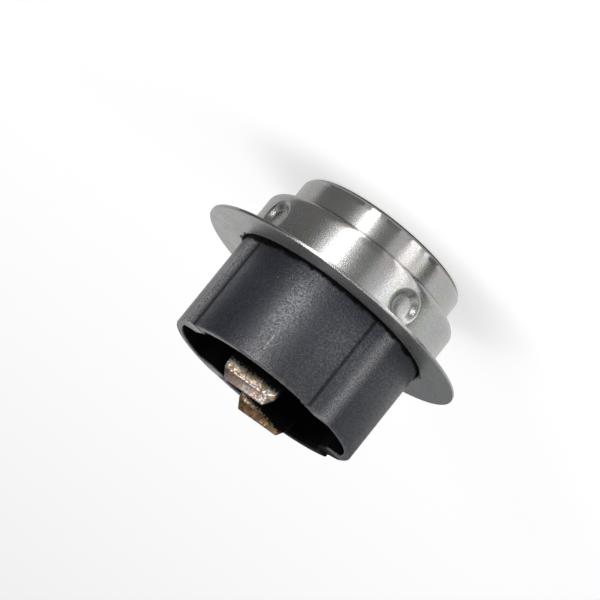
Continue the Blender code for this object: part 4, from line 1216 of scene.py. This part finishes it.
# %% [markdown]
# Bright metal is lit by what it mirrors, so a photographer puts grey, black and glowing cards round
# it. Here they are surfaces with an even glow that only reflections see. Most lie on the table, each
# over the directions in which a round wall mirrors it. The near ones, up to 56 mm from the axis, show
# in the steel. The far ones, most of them raised at the end like curtains, show in the plastic. The
# key cards make the bright streak on the metal, a black one under the cup's rounded corner darkens
# the line where it meets the table, and the flange's mouth side mirrors two upright cards behind.

# %% Reflection cards
CARD_LEVEL = 0.05
CARD_STEPS = 16
WALL_RADIUS = 10.5
FLAT = 0.0
CURTAIN = 160.0
NEAR = (9.8, 10.5, 10.9, 12.0, 14.0, 17.0, 22.0, 30.0, 45.0, 56.0)
FAR = (57.0, 80.0, 160.0, 400.0)
CONTACT = (8.85, 9.4)
BLACK = (0.0, 0.0, 0.0, 1.0)


def place_card(name, points, faces, tone, color=(1.0, 1.0, 1.0)):
    """A card with an even glow that shows only in reflections."""
    glow, _, _ = start_material(
        name, Base_Color=BLACK, Specular_IOR_Level=0.0, Emission_Color=(*color, 1.0), Emission_Strength=tone
    )
    card = stage_piece(name, points, faces, glow)
    card.visible_camera = False
    card.visible_diffuse = False
    card.visible_shadow = False
    card.visible_transmission = False


def mirrored_at(facing, reach):
    """Where, at some distance from the axis, a wall facing a given way mirrors the table."""
    if reach <= WALL_RADIUS:
        return facing
    turn = math.radians(facing)
    across = WALL_RADIUS * math.sin(turn)
    forwards = WALL_RADIUS * math.cos(turn)
    run_out = math.sqrt(reach ** 2 - across ** 2) - forwards
    across += run_out * math.sin(2 * turn)
    forwards += run_out * math.cos(2 * turn)
    return math.degrees(math.atan2(across, forwards))


def table_card(name, start, end, tone, raised, reaches):
    """A card that walls facing between two directions mirror, flat on the table or raised at its end."""
    points = []
    for reach in reaches:
        for step in range(CARD_STEPS + 1):
            facing = start + (end - start) * step / CARD_STEPS
            away = direction(CAMERA_AZIMUTH + mirrored_at(facing, reach), 0.0) * reach * MM
            points.append((away.x, away.y, CARD_LEVEL * MM))
    rings = len(reaches)
    if raised:
        points += [(x, y, raised * MM) for x, y, z in points[-CARD_STEPS - 1:]]
        rings += 1
    faces = []
    for ring in range(rings - 1):
        for step in range(CARD_STEPS):
            corner = ring * (CARD_STEPS + 1) + step
            faces.append((corner, corner + 1, corner + CARD_STEPS + 2, corner + CARD_STEPS + 1))
    place_card(name, points, faces, tone)


def standing_card(name, left, right, tone, color, behind=70.0, low=5.0, high=70.0):
    """An upright card behind the thermostat, placed in millimetres as the camera sees it."""
    points = []
    for across, height in ((left, low), (right, low), (right, high), (left, high)):
        away = level_right * across - direction(CAMERA_AZIMUTH, 0.0) * behind
        points.append((away.x * MM, away.y * MM, height * MM))
    place_card(name, points, [(0, 1, 2, 3)], tone, color)


# Name, first and last direction, tone, height of the raised end, and distances from the axis.
TABLE_CARDS = (
    ("pale_card_left", -89.0, -39.5, 0.85, FLAT, NEAR),
    ("grey_card_left", -89.0, -39.5, 0.42, CURTAIN, FAR),
    ("dark_card_left", -38.5, -30.5, 0.16, FLAT, NEAR),
    ("soft_card_left", -29.5, -26.0, 1.6, FLAT, NEAR),
    ("soft_card_gap", -26.0, -22.0, 0.8, FLAT, NEAR),
    ("soft_card_right", -22.0, -14.0, 1.95, FLAT, NEAR),
    ("grey_card_middle", -12.5, -5.0, 0.66, FLAT, NEAR),
    ("dim_card_left", -38.5, -31.0, 0.3, CURTAIN, FAR),
    ("even_card_left", -30.5, -7.0, 1.0, CURTAIN, FAR),
    ("dark_card_middle", -4.5, 6.5, 0.23, CURTAIN, NEAR + FAR),
    ("key_card", 11.6, 18.0, 4.4, FLAT, NEAR),
    ("wide_key_card", 11.6, 22.0, 4.4, FLAT, FAR),
    ("dark_card_right", 24.0, 56.0, 0.2, FLAT, NEAR),
    ("black_card_right", 25.0, 56.0, 0.06, CURTAIN, FAR),
    ("pale_card_right", 60.0, 89.0, 0.6, CURTAIN, NEAR + FAR),
    ("contact_card", -89.0, 89.0, 0.03, FLAT, CONTACT),
)
for card in TABLE_CARDS:
    table_card(*card)
standing_card("dark_card_behind", -90.0, -4.0, 0.25, (0.92, 0.94, 1.0))
standing_card("pale_card_behind", 2.0, 90.0, 0.76, (1.0, 1.0, 1.0))
print("cards on the table:", len(TABLE_CARDS))

# %% [markdown]
# The Standard view shows every colour as it was written, without a film-like curve over it.

# %% Colours as written
bpy.context.scene.view_settings.view_transform = "Standard"
print("view transform: Standard")
